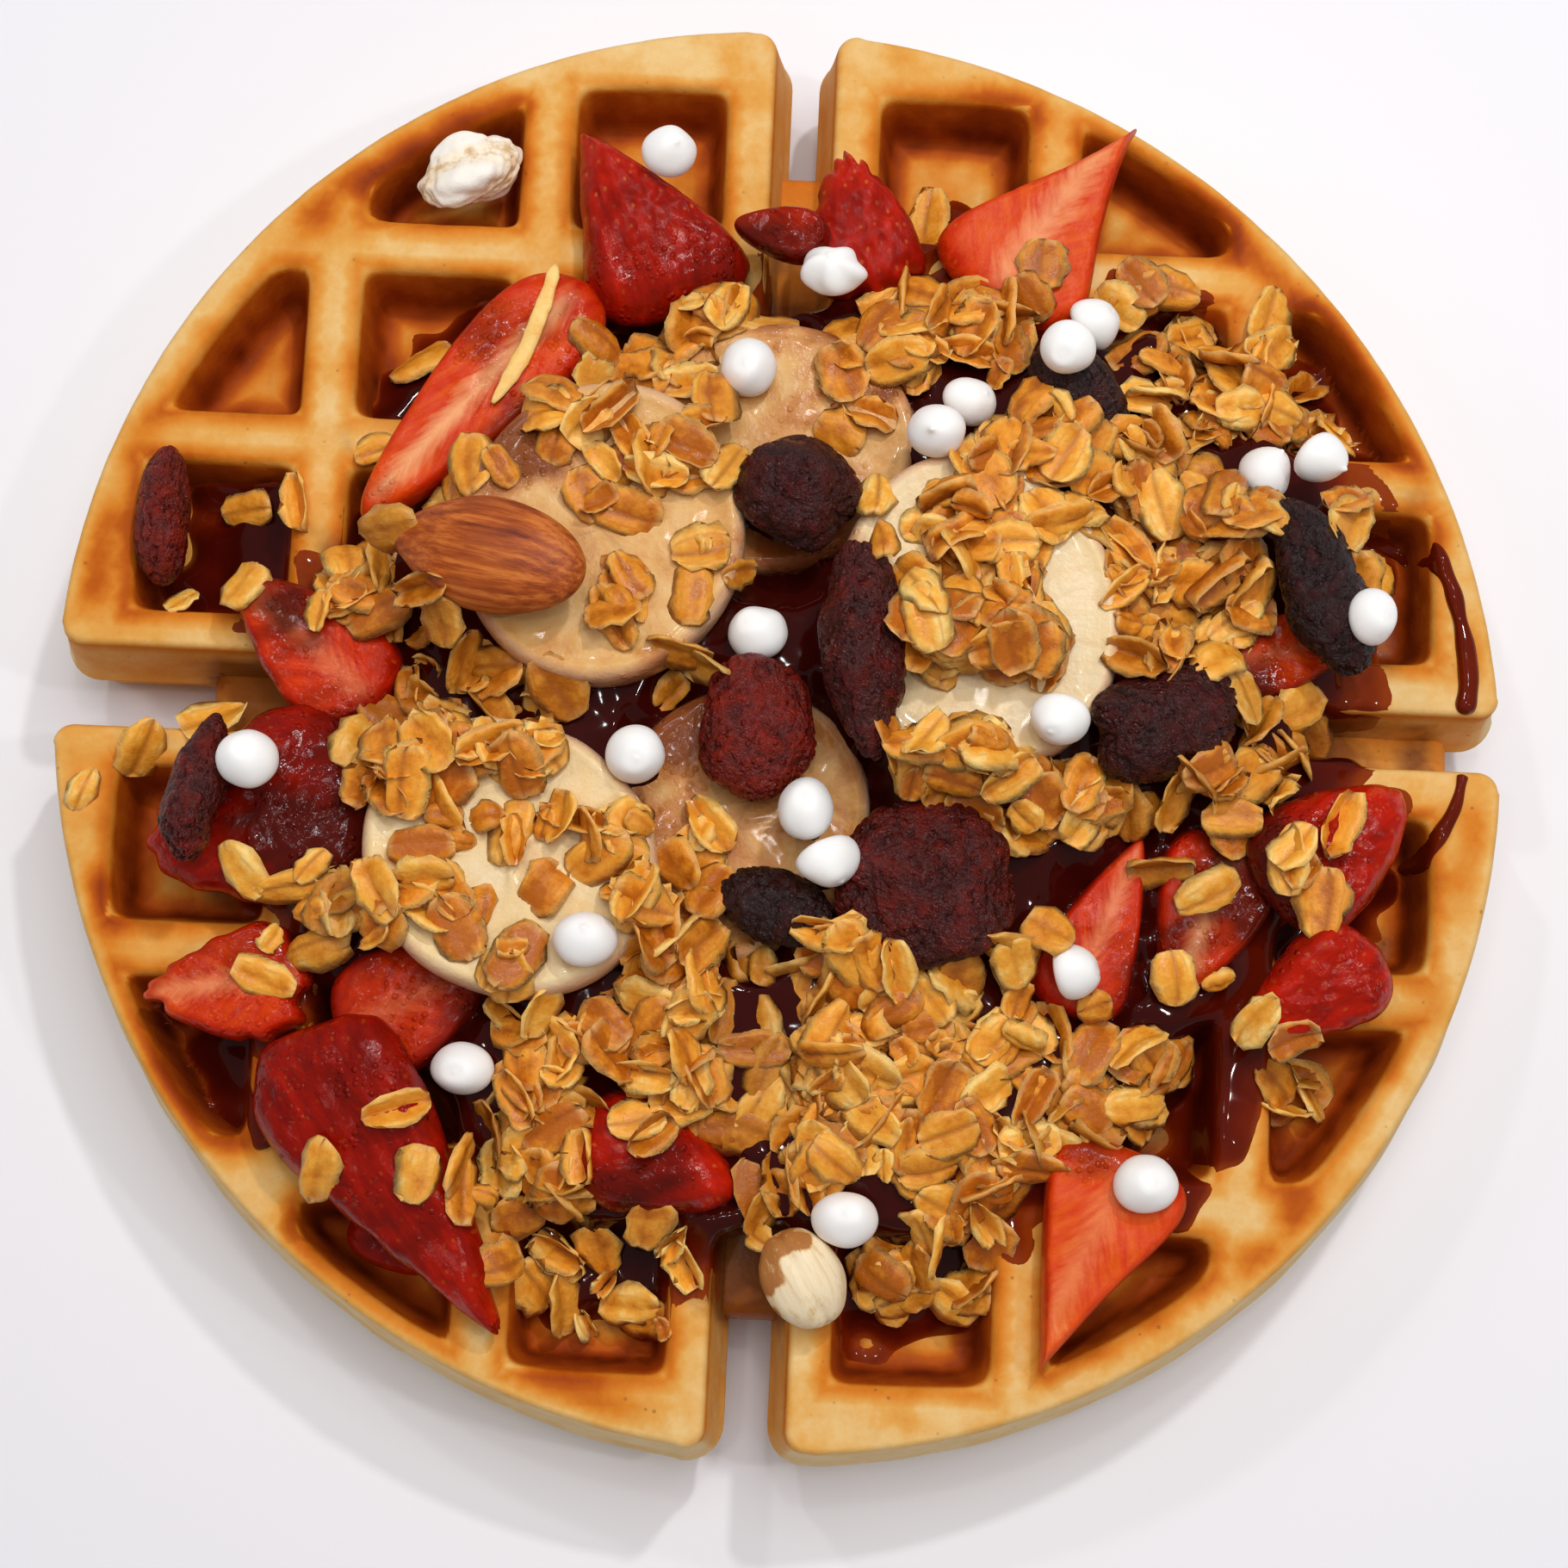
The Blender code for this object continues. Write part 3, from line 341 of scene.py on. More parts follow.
def quarter_outline(sx, sy, inset):
    """Closed line round the quarter on side (sx, sy), moved inwards, as (points, 2)."""
    slot_x = SLOT["top" if sy > 0 else "bottom"]
    slot_y = SLOT["right" if sx > 0 else "left"]
    high_x, low_y = slot_x + RIM_CORNER, slot_y + RIM_CORNER
    high_y = math.sqrt((rim_radius(math.atan2(sy, 0)) - RIM_CORNER) ** 2 - high_x ** 2)
    low_x = math.sqrt((rim_radius(math.atan2(0, sx)) - RIM_CORNER) ** 2 - low_y ** 2)
    start, end = math.atan2(low_y, low_x), math.atan2(high_y, high_x)
    inner = (slot_x + INNER_CORNER, slot_y + INNER_CORNER)
    t = np.arange(64)[:, None] / 64
    along_x = np.concatenate([inner[0] + (low_x - inner[0]) * t, np.full_like(t, slot_y + inset)], -1)
    along_y = np.concatenate([np.full_like(t, slot_x + inset), high_y + (inner[1] - high_y) * t], -1)
    a = start + (end - start) * np.arange(110) / 110
    reach = rim_radius(np.arctan2(sy * np.sin(a), sx * np.cos(a))) - inset
    rim = np.stack([reach * np.cos(a), reach * np.sin(a)], -1)
    line = np.concatenate([
        bend(inner, INNER_CORNER - inset, math.pi, 1.5 * math.pi, 6), along_x,
        bend((low_x, low_y), RIM_CORNER - inset, -0.5 * math.pi, start, 8), rim,
        bend((high_x, high_y), RIM_CORNER - inset, end, math.pi, 8), along_y])
    line = line * (sx, sy)
    return line if sx * sy > 0 else line[::-1]


# %% [markdown]
# A pocket is a square with soft corners, and the outer ones are cut short where the rim
# runs. Both follow from one rule: seen from a point inside, each wall gives a distance in
# every direction, and a power mean of the inverse distances takes the nearest wall and
# rounds the corner where two walls are equally near.

# %% Rings of a pocket
def pocket_cells():
    """Column and row, counted out from the slots, of the eight pockets of a quarter."""
    return [(i, j) for i in range(3) for j in range(3) if (i, j) != (2, 2)]


def pocket_middle(i, j):
    """A point well inside the pocket: its middle, drawn in where the rim cuts it short."""
    pull = 3.4 if i + j == 3 else 0.0
    return np.array([START + POCKET / 2 + i * PITCH - pull, START + POCKET / 2 + j * PITCH - pull])


def pocket_ring(i, j, inset, around=POCKET_AROUND):
    """Line round the pocket, moved inwards: middle + u / (sum of (n.u / d)^10)^(1/10) for directions
    u to evenly spaced points of a square, with wall normals n and their distances d."""
    middle = pocket_middle(i, j)
    low = np.array([START + i * PITCH, START + j * PITCH])
    high = low + POCKET
    side = np.arange(around) / around * 8
    corner = np.floor(side / 2)
    u = np.stack([np.ones(around), side % 2 - 1], -1)
    turn = corner * math.pi / 2
    u = np.stack([u[:, 0] * np.cos(turn) - u[:, 1] * np.sin(turn),
                  u[:, 0] * np.sin(turn) + u[:, 1] * np.cos(turn)], -1)
    u /= np.linalg.norm(u, axis=1, keepdims=True)
    walls = [u[:, 0] / (high[0] - inset - middle[0]), -u[:, 0] / (middle[0] - low[0] - inset),
             u[:, 1] / (high[1] - inset - middle[1]), -u[:, 1] / (middle[1] - low[1] - inset)]
    ahead, rim = u @ middle, LIMIT - inset
    walls.append(1 / (-ahead + np.sqrt(ahead ** 2 + rim ** 2 - middle @ middle)))
    nearest = sum(np.maximum(wall, 0) ** 10 for wall in walls) ** (-1 / 10)
    return middle + u * nearest[:, None]


def pocket_net(i, j):
    """The pocket's surface from its upper edge to its floor, (rings, around, 3), and its middle."""
    rings = [np.c_[pocket_ring(i, j, inset), np.full(POCKET_AROUND, z)] for inset, z in POCKET_SIDE]
    floor, middle = rings[-1], np.append(pocket_middle(i, j), FLOOR)
    rings += [middle + (floor - middle) * share for share in (0.82, 0.64, 0.46, 0.28, 0.12)]
    return np.array(rings), middle


print("a pocket is a net of", pocket_net(0, 0)[0].shape[:2], "points")

# %% [markdown]
# The flat top between the pockets is a plate with holes. Its points are an even grid, and a
# Delaunay triangulation joins them with the rings of the pockets and of the outline, so
# that every part shares its edge points with the next and the whole can be closed.

# %% The plate between the pockets
def inside(points, line):
    """Whether each point lies inside a closed line: odd number of crossings of a level ray."""
    x, y = points[:, :1], points[:, 1:]
    ax, ay = line.T
    bx, by = np.roll(line, -1, 0).T
    crosses = (ay > y) != (by > y)
    with np.errstate(divide="ignore", invalid="ignore"):
        right = x < (bx - ax) * (y - ay) / (by - ay) + ax
    return (crosses & right).sum(1) % 2 == 1


def plate(outline, holes, spacing=1.25):
    """Triangles of the flat region inside the outline and outside the holes."""
    low, high = outline.min(0), outline.max(0)
    x, y = np.meshgrid(np.arange(low[0], high[0], spacing), np.arange(low[1], high[1], spacing))
    x[1::2] += spacing / 2
    grid = np.stack([x.ravel(), y.ravel()], -1)
    lines = [outline] + holes
    keep = inside(grid, outline)
    for line in lines:
        near = np.min(np.linalg.norm(grid[:, None] - line[None, ::2], axis=2), 1) < 0.75 * spacing
        keep &= ~near
    for hole in holes:
        keep &= ~inside(grid, hole)
    points = np.concatenate(lines + [grid[keep]])
    edges, first = [], 0
    for line in lines:
        k = np.arange(len(line))
        edges += np.stack([first + k, first + (k + 1) % len(line)], -1).tolist()
        first += len(line)
    made = delaunay_2d_cdt([Vector(p) for p in points], edges, [], 0, 1e-5)
    found = np.array([v[:] for v in made[0]])
    triangles = np.array([f for f in made[2] if len(f) == 3])
    middle = found[triangles].mean(1)
    good = inside(middle, outline)
    for hole in holes:
        good &= ~inside(middle, hole)
    return found, triangles[good]


# %% [markdown]
# How brown the batter is depends on the iron: it touches the ridges' shoulders, the rim and
# the pocket walls longest. So the browning is worked out from the distance to the nearest
# pocket edge, to the rim and to the slots, with patches from the smooth unevenness. The
# pockets' walls darken with depth and their floors towards the walls, partly as browning and
# partly as painted shade.

# %% Distances and browning
def pocket_distance(x, y):
    """How far a place lies inside the nearest pocket's upper edge; below 0 outside."""
    ax, ay = np.abs(x), np.abs(y)
    i = np.clip(np.round((ax - START - POCKET / 2) / PITCH), 0, 2)
    j = np.clip(np.round((ay - START - POCKET / 2) / PITCH), 0, 2)
    dx = POCKET / 2 - np.abs(ax - START - POCKET / 2 - i * PITCH)
    dy = POCKET / 2 - np.abs(ay - START - POCKET / 2 - j * PITCH)
    within = np.minimum(np.minimum(dx, dy), LIMIT - np.hypot(x, y))
    return np.where((i == 2) & (j == 2), -9.0, within)


def slot_distance(x, y):
    """How far a place lies inside its quarter's widest outline along the slots."""
    across_x = np.where(y > 0, SLOT["top"], SLOT["bottom"])
    across_y = np.where(x > 0, SLOT["right"], SLOT["left"])
    return np.minimum(np.abs(x) - across_x, np.abs(y) - across_y)


def edge_distance(x, y):
    """How far a place lies inside its quarter's widest outline."""
    rim = rim_radius(np.arctan2(y, x)) - np.hypot(x, y)
    return np.minimum(rim, slot_distance(x, y))


def browning_and_pocket_shade(points):
    """0 for pale batter to 1 for the darkest crust, with painted shade in the pockets, at points (n, 3)."""
    x, y, z = points.T
    flat = points[:, :2]
    top = z > THICK / 2
    into = pocket_distance(x, y)
    rim = rim_radius(np.arctan2(y, x)) - np.hypot(x, y)
    slot = slot_distance(x, y)
    depth = np.where(top, THICK - z, z)
    patch = ripple(flat, 34, 5) + 0.45 * ripple(flat, 9, 6)
    fine = ripple(points, 5, 7)
    value = 0.17 + 0.04 * patch + 0.03 * fine
    strong = 0.8 + 0.4 * ease(np.hypot(x, y), 35, 80) + 0.25 * patch
    value += 0.2 * strong * np.exp(-((into + 0.55) / 0.85) ** 2)
    band = ease(rim, 2.8, 4.6) * (1 - ease(rim, 5.4, 9)) * ease(slot, 4, 9)
    corner = np.exp(-((rim - 6) / 3.2) ** 2) * ease(np.minimum(np.abs(x), np.abs(y)), 30, 45)
    value += (0.24 * band + 0.12 * corner) * ease(patch, -0.6, 0.9) * (into < 0.4)
    leftward = ease(-x, 10, 80) + 0.5 * ease(y, 60, 85)
    value += 0.05 * leftward * ease(rim, 1.5, 4) * (1 - ease(rim, 9, 20)) * top
    # Pocket walls darken with depth and floors towards the walls: partly browning, partly painted shade of
    # the pocket.
    in_pocket = ease(into, -0.1, 0.35) * ease(depth, 0.3, 1.6)
    wall = 0.58 + 0.24 * ease(depth, 1.5, 8) + 0.07 * ripple(points, 3.5, 8) + 0.06 * patch
    floor = 0.29 + 0.42 * (1 - ease(into, 2.2, 5.5)) + 0.09 * ripple(flat, 6, 9) - 0.05 * patch
    pocket_browning_and_shade = wall + (floor - wall) * ease(into, 1.7, 2.8) * ease(depth, 7, 9)
    value += (pocket_browning_and_shade - value) * in_pocket
    side = (into < 0) & (np.minimum(rim, slot) < 2.6)
    shoulder = 0.22 * np.exp(-((depth - 1.2) / 1.0) ** 2) * (slot < rim)
    pale = np.where(rim < slot, 0.06, 0.2) + 0.03 * fine + shoulder
    value = np.where(side, value + (pale - value) * ease(depth, 0.1, 1.4), value)
    return np.clip(value, 0, 1)


# %% [markdown]
# Now the quarter is put together: the side wall from the outline rings, two plates, and the
# pockets of both faces. Points that coincide are merged, which closes the whole, and the
# faces are turned outwards. A faint wave keeps the flats from looking machined.

# %% The four quarters
def quarter_mesh(sx, sy):
    """One closed quarter with its browning and painted pocket shade at every point."""
    outline = [quarter_outline(sx, sy, inset) for inset, _ in SIDE]
    around = len(outline[0])
    wall = np.array([np.c_[line, np.full(around, z)] for line, (_, z) in zip(outline, SIDE)])[::-1]
    points, faces, first = [wall.reshape(-1, 3)], [ring_quads(len(wall), around)], wall.size // 3
    holes = []
    for i, j in pocket_cells():
        net, middle = pocket_net(i, j)
        net, middle = net * (sx, sy, 1), middle * (sx, sy, 1)
        if sx * sy < 0:
            net = net[:, ::-1]
        holes.append(net[0, :, :2])
        for up in (True, False):
            part = net if up else net * (1, 1, -1) + (0, 0, THICK)
            end = middle if up else middle * (1, 1, -1) + (0, 0, THICK)
            points += [part.reshape(-1, 3), end[None]]
            quads = ring_quads(*part.shape[:2], first)
            k = np.arange(POCKET_AROUND)
            last = first + (len(part) - 1) * POCKET_AROUND
            middle_point = np.full(POCKET_AROUND, first + part.size // 3)
            fan = np.stack([last + k, last + (k + 1) % POCKET_AROUND, middle_point], -1)
            faces += [quads if up else quads[:, ::-1], fan if up else fan[:, ::-1]]
            first += part.size // 3 + 1
    flat, triangles = plate(outline[0], holes)
    for z, order in ((THICK, 1), (0.0, -1)):
        points.append(np.c_[flat, np.full(len(flat), z)])
        faces.append(triangles[:, ::order] + first)
        first += len(flat)
    return np.concatenate(points), faces


def closed_mesh(name, points, faces, values, wave):
    """Merges the points that coincide, then gives the mesh its values and moves its points."""
    key = np.round(points / 0.004).astype(np.int64)
    _, one, back = np.unique(key, axis=0, return_index=True, return_inverse=True)
    points = points[one]
    back = back.reshape(-1)
    faces = [back[f] for f in faces]
    return mesh_from(name, points + wave(points), faces, values(points))


def batter_wave(points):
    """Small hollows of the crust, never outwards of the iron's own surface."""
    x, y, z = points.T
    sunk = 0.09 * (1 + ripple(points[:, :2], 7, 11)) + 0.05 * (1 + ripple(points, 2.6, 12))
    flat_top = (z > THICK - 1.2) & (pocket_distance(x, y) < 0.3)
    flat_low = (z < 1.2) & (pocket_distance(x, y) < 0.3)
    move = np.zeros_like(points)
    move[:, 2] = np.where(flat_top, -sunk, 0) + np.where(flat_low, 0.25 * sunk * (z > 0.3), 0)
    side = (~flat_top) & (~flat_low) & (edge_distance(x, y) < 2.5) & (pocket_distance(x, y) < 0)
    inward = -np.stack([x, y], -1) / np.maximum(np.hypot(x, y), 1)[:, None]
    move[:, :2] += inward * (side * 0.16 * (1 + ripple(points, 8, 13)))[:, None]
    return move


def batter_values(points):
    return {"brown_and_shade": browning_and_pocket_shade(points), "soaked": soaking(points)}


# Radii of the heap's edge all round, from the waffle's right-hand side anticlockwise
HEAP_REACH = (68, 73, 68, 57, 53, 49, 48, 55, 60, 65, 62, 65, 66, 66, 65, 66)
HEAP_EDGE, HEAP_RISE = 25.8, 7.5


def heap_reach(angle):
    """Radius of the heap's edge, eased from one of sixteen radii to the next."""
    place = (np.asarray(angle) / math.tau % 1) * len(HEAP_REACH)
    i = np.floor(place).astype(int)
    part = ease(place - i, 0, 1)
    reach = np.array(HEAP_REACH, float)
    return reach[i % len(reach)] * (1 - part) + reach[(i + 1) % len(reach)] * part


def soaking(points):
    """Where syrup has soaked in, 0 to 1: round the heap's edge and in the pockets beside it."""
    x, y, z = points.T
    share = np.hypot(x, y) / heap_reach(np.arctan2(y, x))
    uneven = 0.09 * ripple(points[:, :2], 12, 21) + 0.04 * ripple(points, 4, 22)
    reach = 0.92 + 0.13 * ease(THICK - z, 1, 6)
    return (1 - ease(share + uneven, reach, reach + 0.15)) * np.where(z > 12, 1, 0)


# %% [markdown]
# Baked batter is matt and a little rough. Its colour runs from pale cream through gold to
# orange brown with the browning and the painted pocket shade at each point, tiny dark specks
# are bran and burnt sugar, and fine pits catch the light. Where syrup has soaked in, it is
# darker, redder and glossy.

# %% Baked batter
def batter_look():
    look = Look("baked_batter", Metallic=0.0, IOR=1.42)
    space = look.space()
    brown_and_shade = look.value("brown_and_shade")
    cloud = look.noise(space, 140, 5, 0.6)
    grain = look.noise(space, 900, 3, 0.6)
    # The value read here is browning, with painted shade in the pockets.
    toast_and_shade = look.plus(brown_and_shade, look.centred(cloud, 0.22))
    toast_and_shade = look.plus(toast_and_shade, look.centred(grain, 0.1), clamp=True)
    crust = look.ramp(toast_and_shade, (0.02, (0.84, 0.62, 0.32)), (0.12, (0.79, 0.50, 0.19)),
                      (0.21, (0.74, 0.36, 0.075)), (0.36, (0.67, 0.215, 0.018)),
                      (0.52, (0.50, 0.10, 0.004)), (0.7, (0.32, 0.046, 0.002)), (0.95, (0.12, 0.011, 0.001)))
    dots = look.cells(space, 520)
    pick = look.noise(space, 260, 2, 0.5)
    speck = look.times(look.span(dots, 0.16, 0.08), look.span(pick, 0.55, 0.62))
    crust = look.tint(crust, speck, 0.55, (0.22, 0.07, 0.015))
    soaked = look.value("soaked")
    edge = look.times(soaked, look.span(look.noise(space, 210, 4, 0.6), 0.3, 0.62), clamp=True)
    wet = look.math("MAXIMUM", look.times(look.times(soaked, soaked), 0.9), edge)
    crust = look.tint(crust, wet, 0.8, (0.13, 0.018, 0.002))
    pits = look.plus(look.times(cloud, 0.6), look.times(grain, 0.4))
    normal = look.bump(pits, 0.35, 0.55)
    return look.finish(Base_Color=crust, Roughness=look.span(wet, 0, 1, 0.62, 0.24), Normal=normal,
                       Specular_IOR_Level=0.2)


baked_batter = batter_look()
for label, sx, sy in (("front_right", 1, -1), ("front_left", -1, -1),
                      ("back_right", 1, 1), ("back_left", -1, 1)):
    net_points, net_faces = quarter_mesh(sx, sy)
    quarter = put("waffle_" + label, closed_mesh(label, net_points, net_faces, batter_values, batter_wave),
                  baked_batter, "waffle", "waffle")
    print(quarter.name, len(quarter.data.polygons), "faces")

# %% [markdown]
# Deep in the slots a strip of batter joins the quarters. It is a flattened bar with soft
# edges for each slot, ending inside the waffle or short of the rim as on the real one.

# %% The strips that join the quarters
def web_bar(reach, half):
    """A bar along +X: section y = h sgn(c)|c|^0.3, z = k sgn(s)|s|^0.4, shrinking over its last 2 mm."""
    a = turns(40)
    section = np.stack([np.sign(np.cos(a)) * np.abs(np.cos(a)) ** 0.3 * (half + WEB_OVERLAP),
                        np.sign(np.sin(a)) * np.abs(np.sin(a)) ** 0.4 * WEB_HIGH / 2], -1)
    rounding = reach - 2 + 2 * np.sin(np.linspace(0.2, 1.5, 7))
    along = np.concatenate([np.linspace(-half, reach - 2, 60), rounding])
    end = np.sqrt(np.clip(1 - (np.maximum(along - reach + 2, 0) / 2.02) ** 2, 0.05, 1))
    net = np.empty((len(along), 40, 3))
    net[:, :, 0] = along[:, None]
    net[:, :, 1] = section[:, 0]
    uneven = 1 - 0.05 * (1 + ripple(along[:, None] * (1, 0), 9, 31))
    net[:, :, 2] = section[:, 1] * end[:, None] * uneven[:, None]
    return net


bars = []
for side, turn in (("right", 0), ("top", 1), ("left", 2), ("bottom", 3)):
    net = web_bar(WEB_REACH[side], SLOT[side])
    c, s = round(math.cos(turn * math.pi / 2)), round(math.sin(turn * math.pi / 2))
    x, y = net[..., 0] * c - net[..., 1] * s, net[..., 0] * s + net[..., 1] * c
    net = np.stack([x, y, net[..., 2] + THICK / 2], -1)
    bars.append(shell(net))
points, faces = together(bars)
put("waffle_joining_strips",
    mesh_from("joining_strips", points, faces,
              {"brown_and_shade": 0.34 + 0.08 * ripple(points, 9, 33), "soaked": soaking(points)}),
    baked_batter, "waffle", "waffle")
print(len(bars), "joining strips")

# %% [markdown]
# Each slice lies where its solid lies. Some solids lean on a neighbour, so a slice's lean is
# read from its solid's flat underside: of the faces that look down, those with the commonest
# direction make up the underside.

# %% How a slice lies
def node_triangles(node):
    """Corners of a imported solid's triangles, (n, 3, 3), in millimetres."""
    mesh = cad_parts[node].data
    mesh.calc_loop_triangles()
    places = np.empty(len(mesh.vertices) * 3)
    mesh.vertices.foreach_get("co", places)
    index = np.empty(len(mesh.loop_triangles) * 3, np.int32)
    mesh.loop_triangles.foreach_get("vertices", index)
    return places.reshape(-1, 3)[index.reshape(-1, 3)] / MM


def slice_lie(node, x, y, way):
    """Turn and place of a slice: its own axes turned by way, then leaned with its underside."""
    corners = node_triangles(node)
    normal = np.cross(corners[:, 1] - corners[:, 0], corners[:, 2] - corners[:, 0])
    area = np.linalg.norm(normal, axis=1)
    normal /= np.maximum(area, 1e-9)[:, None]
    down = normal[:, 2] < -0.7
    _, group = np.unique(np.round(normal[down] * 50), axis=0, return_inverse=True)
    group = group.reshape(-1)
    under = group == np.bincount(group, area[down]).argmax()
    n = -np.average(normal[down][under], axis=0, weights=area[down][under])
    n /= np.linalg.norm(n)
    point = corners[down][under].mean((0, 1))
    up = n @ (point - (x, y, 0)) / n[2]
    turn = Vector((0, 0, 1)).rotation_difference(Vector(n)).to_matrix() @ \
        Matrix.Rotation(math.radians(way), 3, "Z")
    return np.array(turn), np.array([x, y, up])


def lump_lie(node, way, width, thick):
    """Turn and place of a lump: from the spread of its solid's surface. A flat one takes its
    upward axis from the least spread, and a slender one its long axis from the greatest."""
    corners = node_triangles(node)
    points = corners.reshape(-1, 3)
    low, high = points.min(0), points.max(0)
    _, axes = np.linalg.eigh(np.cov((points - points.mean(0)).T))
    ahead = np.array([math.cos(math.radians(way)), math.sin(math.radians(way)), 0])
    if width > 1.3 * thick:
        up = axes[:, 0] * np.sign(axes[2, 0])
        ahead = ahead - up * (up @ ahead)
    else:
        ahead = axes[:, 2] * np.sign(axes[:, 2] @ ahead)
        up = np.array([0, 0, 1.0]) - ahead * ahead[2]
    ahead, up = ahead / np.linalg.norm(ahead), up / np.linalg.norm(up)
    return np.stack([ahead, np.cross(up, ahead), up], 1), (low + high) / 2


toppings = []


def lay_piece(name, points, faces, lie, look, slot, values):
    """Places a topping worked out round its own origin, and keeps it for the pile's heights."""
    turn, place = lie
    world = points @ turn.T + place
    values = {key: value(world) if callable(value) else value for key, value in values.items()}
    toppings.append((slot, world, faces))
    return put(name + "_dressed", mesh_from(name + "_dressed", world, faces, values), look, slot, name)


lean = math.acos(slice_lie("strawberry_09", -41.0, -57.5, 307)[0][2, 2])
print("strawberry_09 leans", round(math.degrees(lean), 1), "degrees")

# %% [markdown]
# Syrup runs over fruit and batter alike, so one function says where it lies thick. It is a
# sum of round spots, each broken up by the smooth unevenness, in the places of the photo's
# dark pools. Every piece of fruit carries its value, and its material turns dark and glossy.

# %% Where syrup lies on the fruit
STAINS = (
    (-31, 28, 9, 1.0), (-36, 44, 9, 0.9), (-52, 24, 9, 0.7), (-58, 4, 7, 0.35), (3, 20, 9, 0.9),
    (9, 44, 7, 1.0), (-6, 52, 8, 0.8), (-12, -2, 8, 0.9), (46, -31, 7, 0.8), (56, -20, 7, 1.0),
    (55, -12, 8, 0.6), (-46, -8, 8, 0.8), (-50, -22, 8, 0.7), (-28, -40, 9, 0.8), (-14, -60, 9, 0.7),
    (40, -48, 8, 0.9), (58, 2, 8, 0.8), (-20, 51, 9, 0.7), (28, -14, 8, 0.6), (-57, -20, 8, 0.7),
    (-62, 12, 6, 0.5))


def syrup_on(points):
    """Sum of s exp(-(d / r)^2) over the spots, plus unevenness, held between 0 and 1."""
    x, y = points[:, 0], points[:, 1]
    total = sum(s * np.exp(-((x - sx) ** 2 + (y - sy) ** 2) / r ** 2) for sx, sy, r, s in STAINS)
    return np.clip(total + 0.22 * ripple(points, 9, 41) + 0.12 * ripple(points, 3.5, 42) - 0.05, 0, 1)


# %% [markdown]
# A strawberry slice is a drop-shaped outline with a point. A wedge that shows its skin is
# domed, and one that shows its cut face is flatter, with a rounded edge. Both are stacks of
# the same outline at different sizes and heights, closed at the two poles.

# %% Shape of a strawberry slice
# Node, x, y, way the tip points, length, width, thickness, how straight its sides run to the
# tip, cut face up, tone from dark to bright, pale core, syrup, jagged edge, tip aside
STRAWBERRIES = (
    ("strawberry_01", -18.0, 60.5, 111, 26, 20, 8.5, 0.85, 0, 0.42, 0.0, -0.2, 0.02, 5.0),
    ("strawberry_02", 8.0, 61.0, 98, 19, 14, 7.0, 0.65, 0, 0.42, 0.0, -0.1, 0.12, 1.5),
    ("strawberry_03", 31.5, 63.5, 57, 29, 20, 6.0, 1.25, 1, 0.72, 0.7, -0.3, 0.0, -2.0),
    ("strawberry_04", -38.0, 36.0, 230, 40, 14, 6.0, 0.55, 1, 0.66, 1.0, -0.3, 0.0, 0.0),
    ("strawberry_05", -56.0, 5.0, 140, 23, 15, 6.0, 0.6, 1, 0.52, 0.3, 0.2, 0.02, 0.0),
    ("strawberry_06", -60.0, -16.0, 200, 28, 23, 7.0, 0.5, 0, 0.34, 0.0, 0.25, 0.04, 0.0),
    ("strawberry_07", -63.0, -36.0, 190, 19, 14, 5.5, 0.6, 1, 0.58, 0.5, 0.3, 0.10, 0.0),
    ("strawberry_08", -40.5, -36.5, 30, 20, 15, 6.0, 0.5, 1, 0.50, 0.2, 0.42, 0.0, 0.0),
    ("strawberry_09", -41.0, -57.5, 307, 42, 20, 7.0, 0.8, 0, 0.34, 0.0, 0.3, 0.04, 0.0),
    ("strawberry_10", -42.7, -65.3, 330, 11, 6, 5.0, 0.5, 0, 0.36, 0.0, 0.3, 0.0, 0.0),
    ("strawberry_11", -11.5, -54.5, 340, 20, 14, 8.0, 0.5, 0, 0.40, 0.0, 0.1, 0.02, 0.0),
    ("strawberry_12", 39.5, -24.5, 68, 24, 12, 6.0, 0.75, 1, 0.52, 0.45, 0.05, 0.0, 0.0),
    ("strawberry_13", 51.5, -22.5, 250, 21, 14, 6.0, 0.55, 1, 0.56, 0.8, 0.15, 0.0, 0.0),
    ("strawberry_14", 66.0, -14.5, 40, 21, 16, 6.0, 0.5, 0, 0.45, 0.0, 0.25, 0.02, 0.0),
    ("strawberry_15", 63.5, -31.0, 215, 18, 13, 5.5, 0.65, 0, 0.46, 0.0, 0.25, 0.03, 0.0),
    ("strawberry_16", 38.0, -63.0, 245, 28, 17, 6.0, 1.1, 1, 0.74, 0.3, -0.2, 0.0, 1.5),
    ("strawberry_17", 61.0, 9.5, 20, 16, 10, 6.0, 0.5, 1, 0.62, 0.2, 0.3, 0.0, 0.0),
    ("strawberry_18", -1.5, 57.5, 170, 12, 6.5, 5.0, 0.5, 1, 0.36, 0.0, 0.4, 0.0, 0.0),
)
TIP_BRIGHTER = 0.2
DOMED = np.array([
    (0, 0.35), (0, 0.62), (0, 0.8), (0.02, 0.865), (0.08, 0.92), (0.17, 0.97), (0.28, 1.0),
    (0.41, 0.99), (0.53, 0.96), (0.64, 0.92), (0.74, 0.865), (0.82, 0.80), (0.88, 0.735)])
SLICED = np.array([
    (0, 0.35), (0, 0.62), (0, 0.8), (0.02, 0.865), (0.08, 0.93), (0.17, 0.975), (0.28, 1.0),
    (0.44, 1.0), (0.6, 0.985), (0.73, 0.962), (0.83, 0.93), (0.9, 0.885), (0.94, 0.83)])


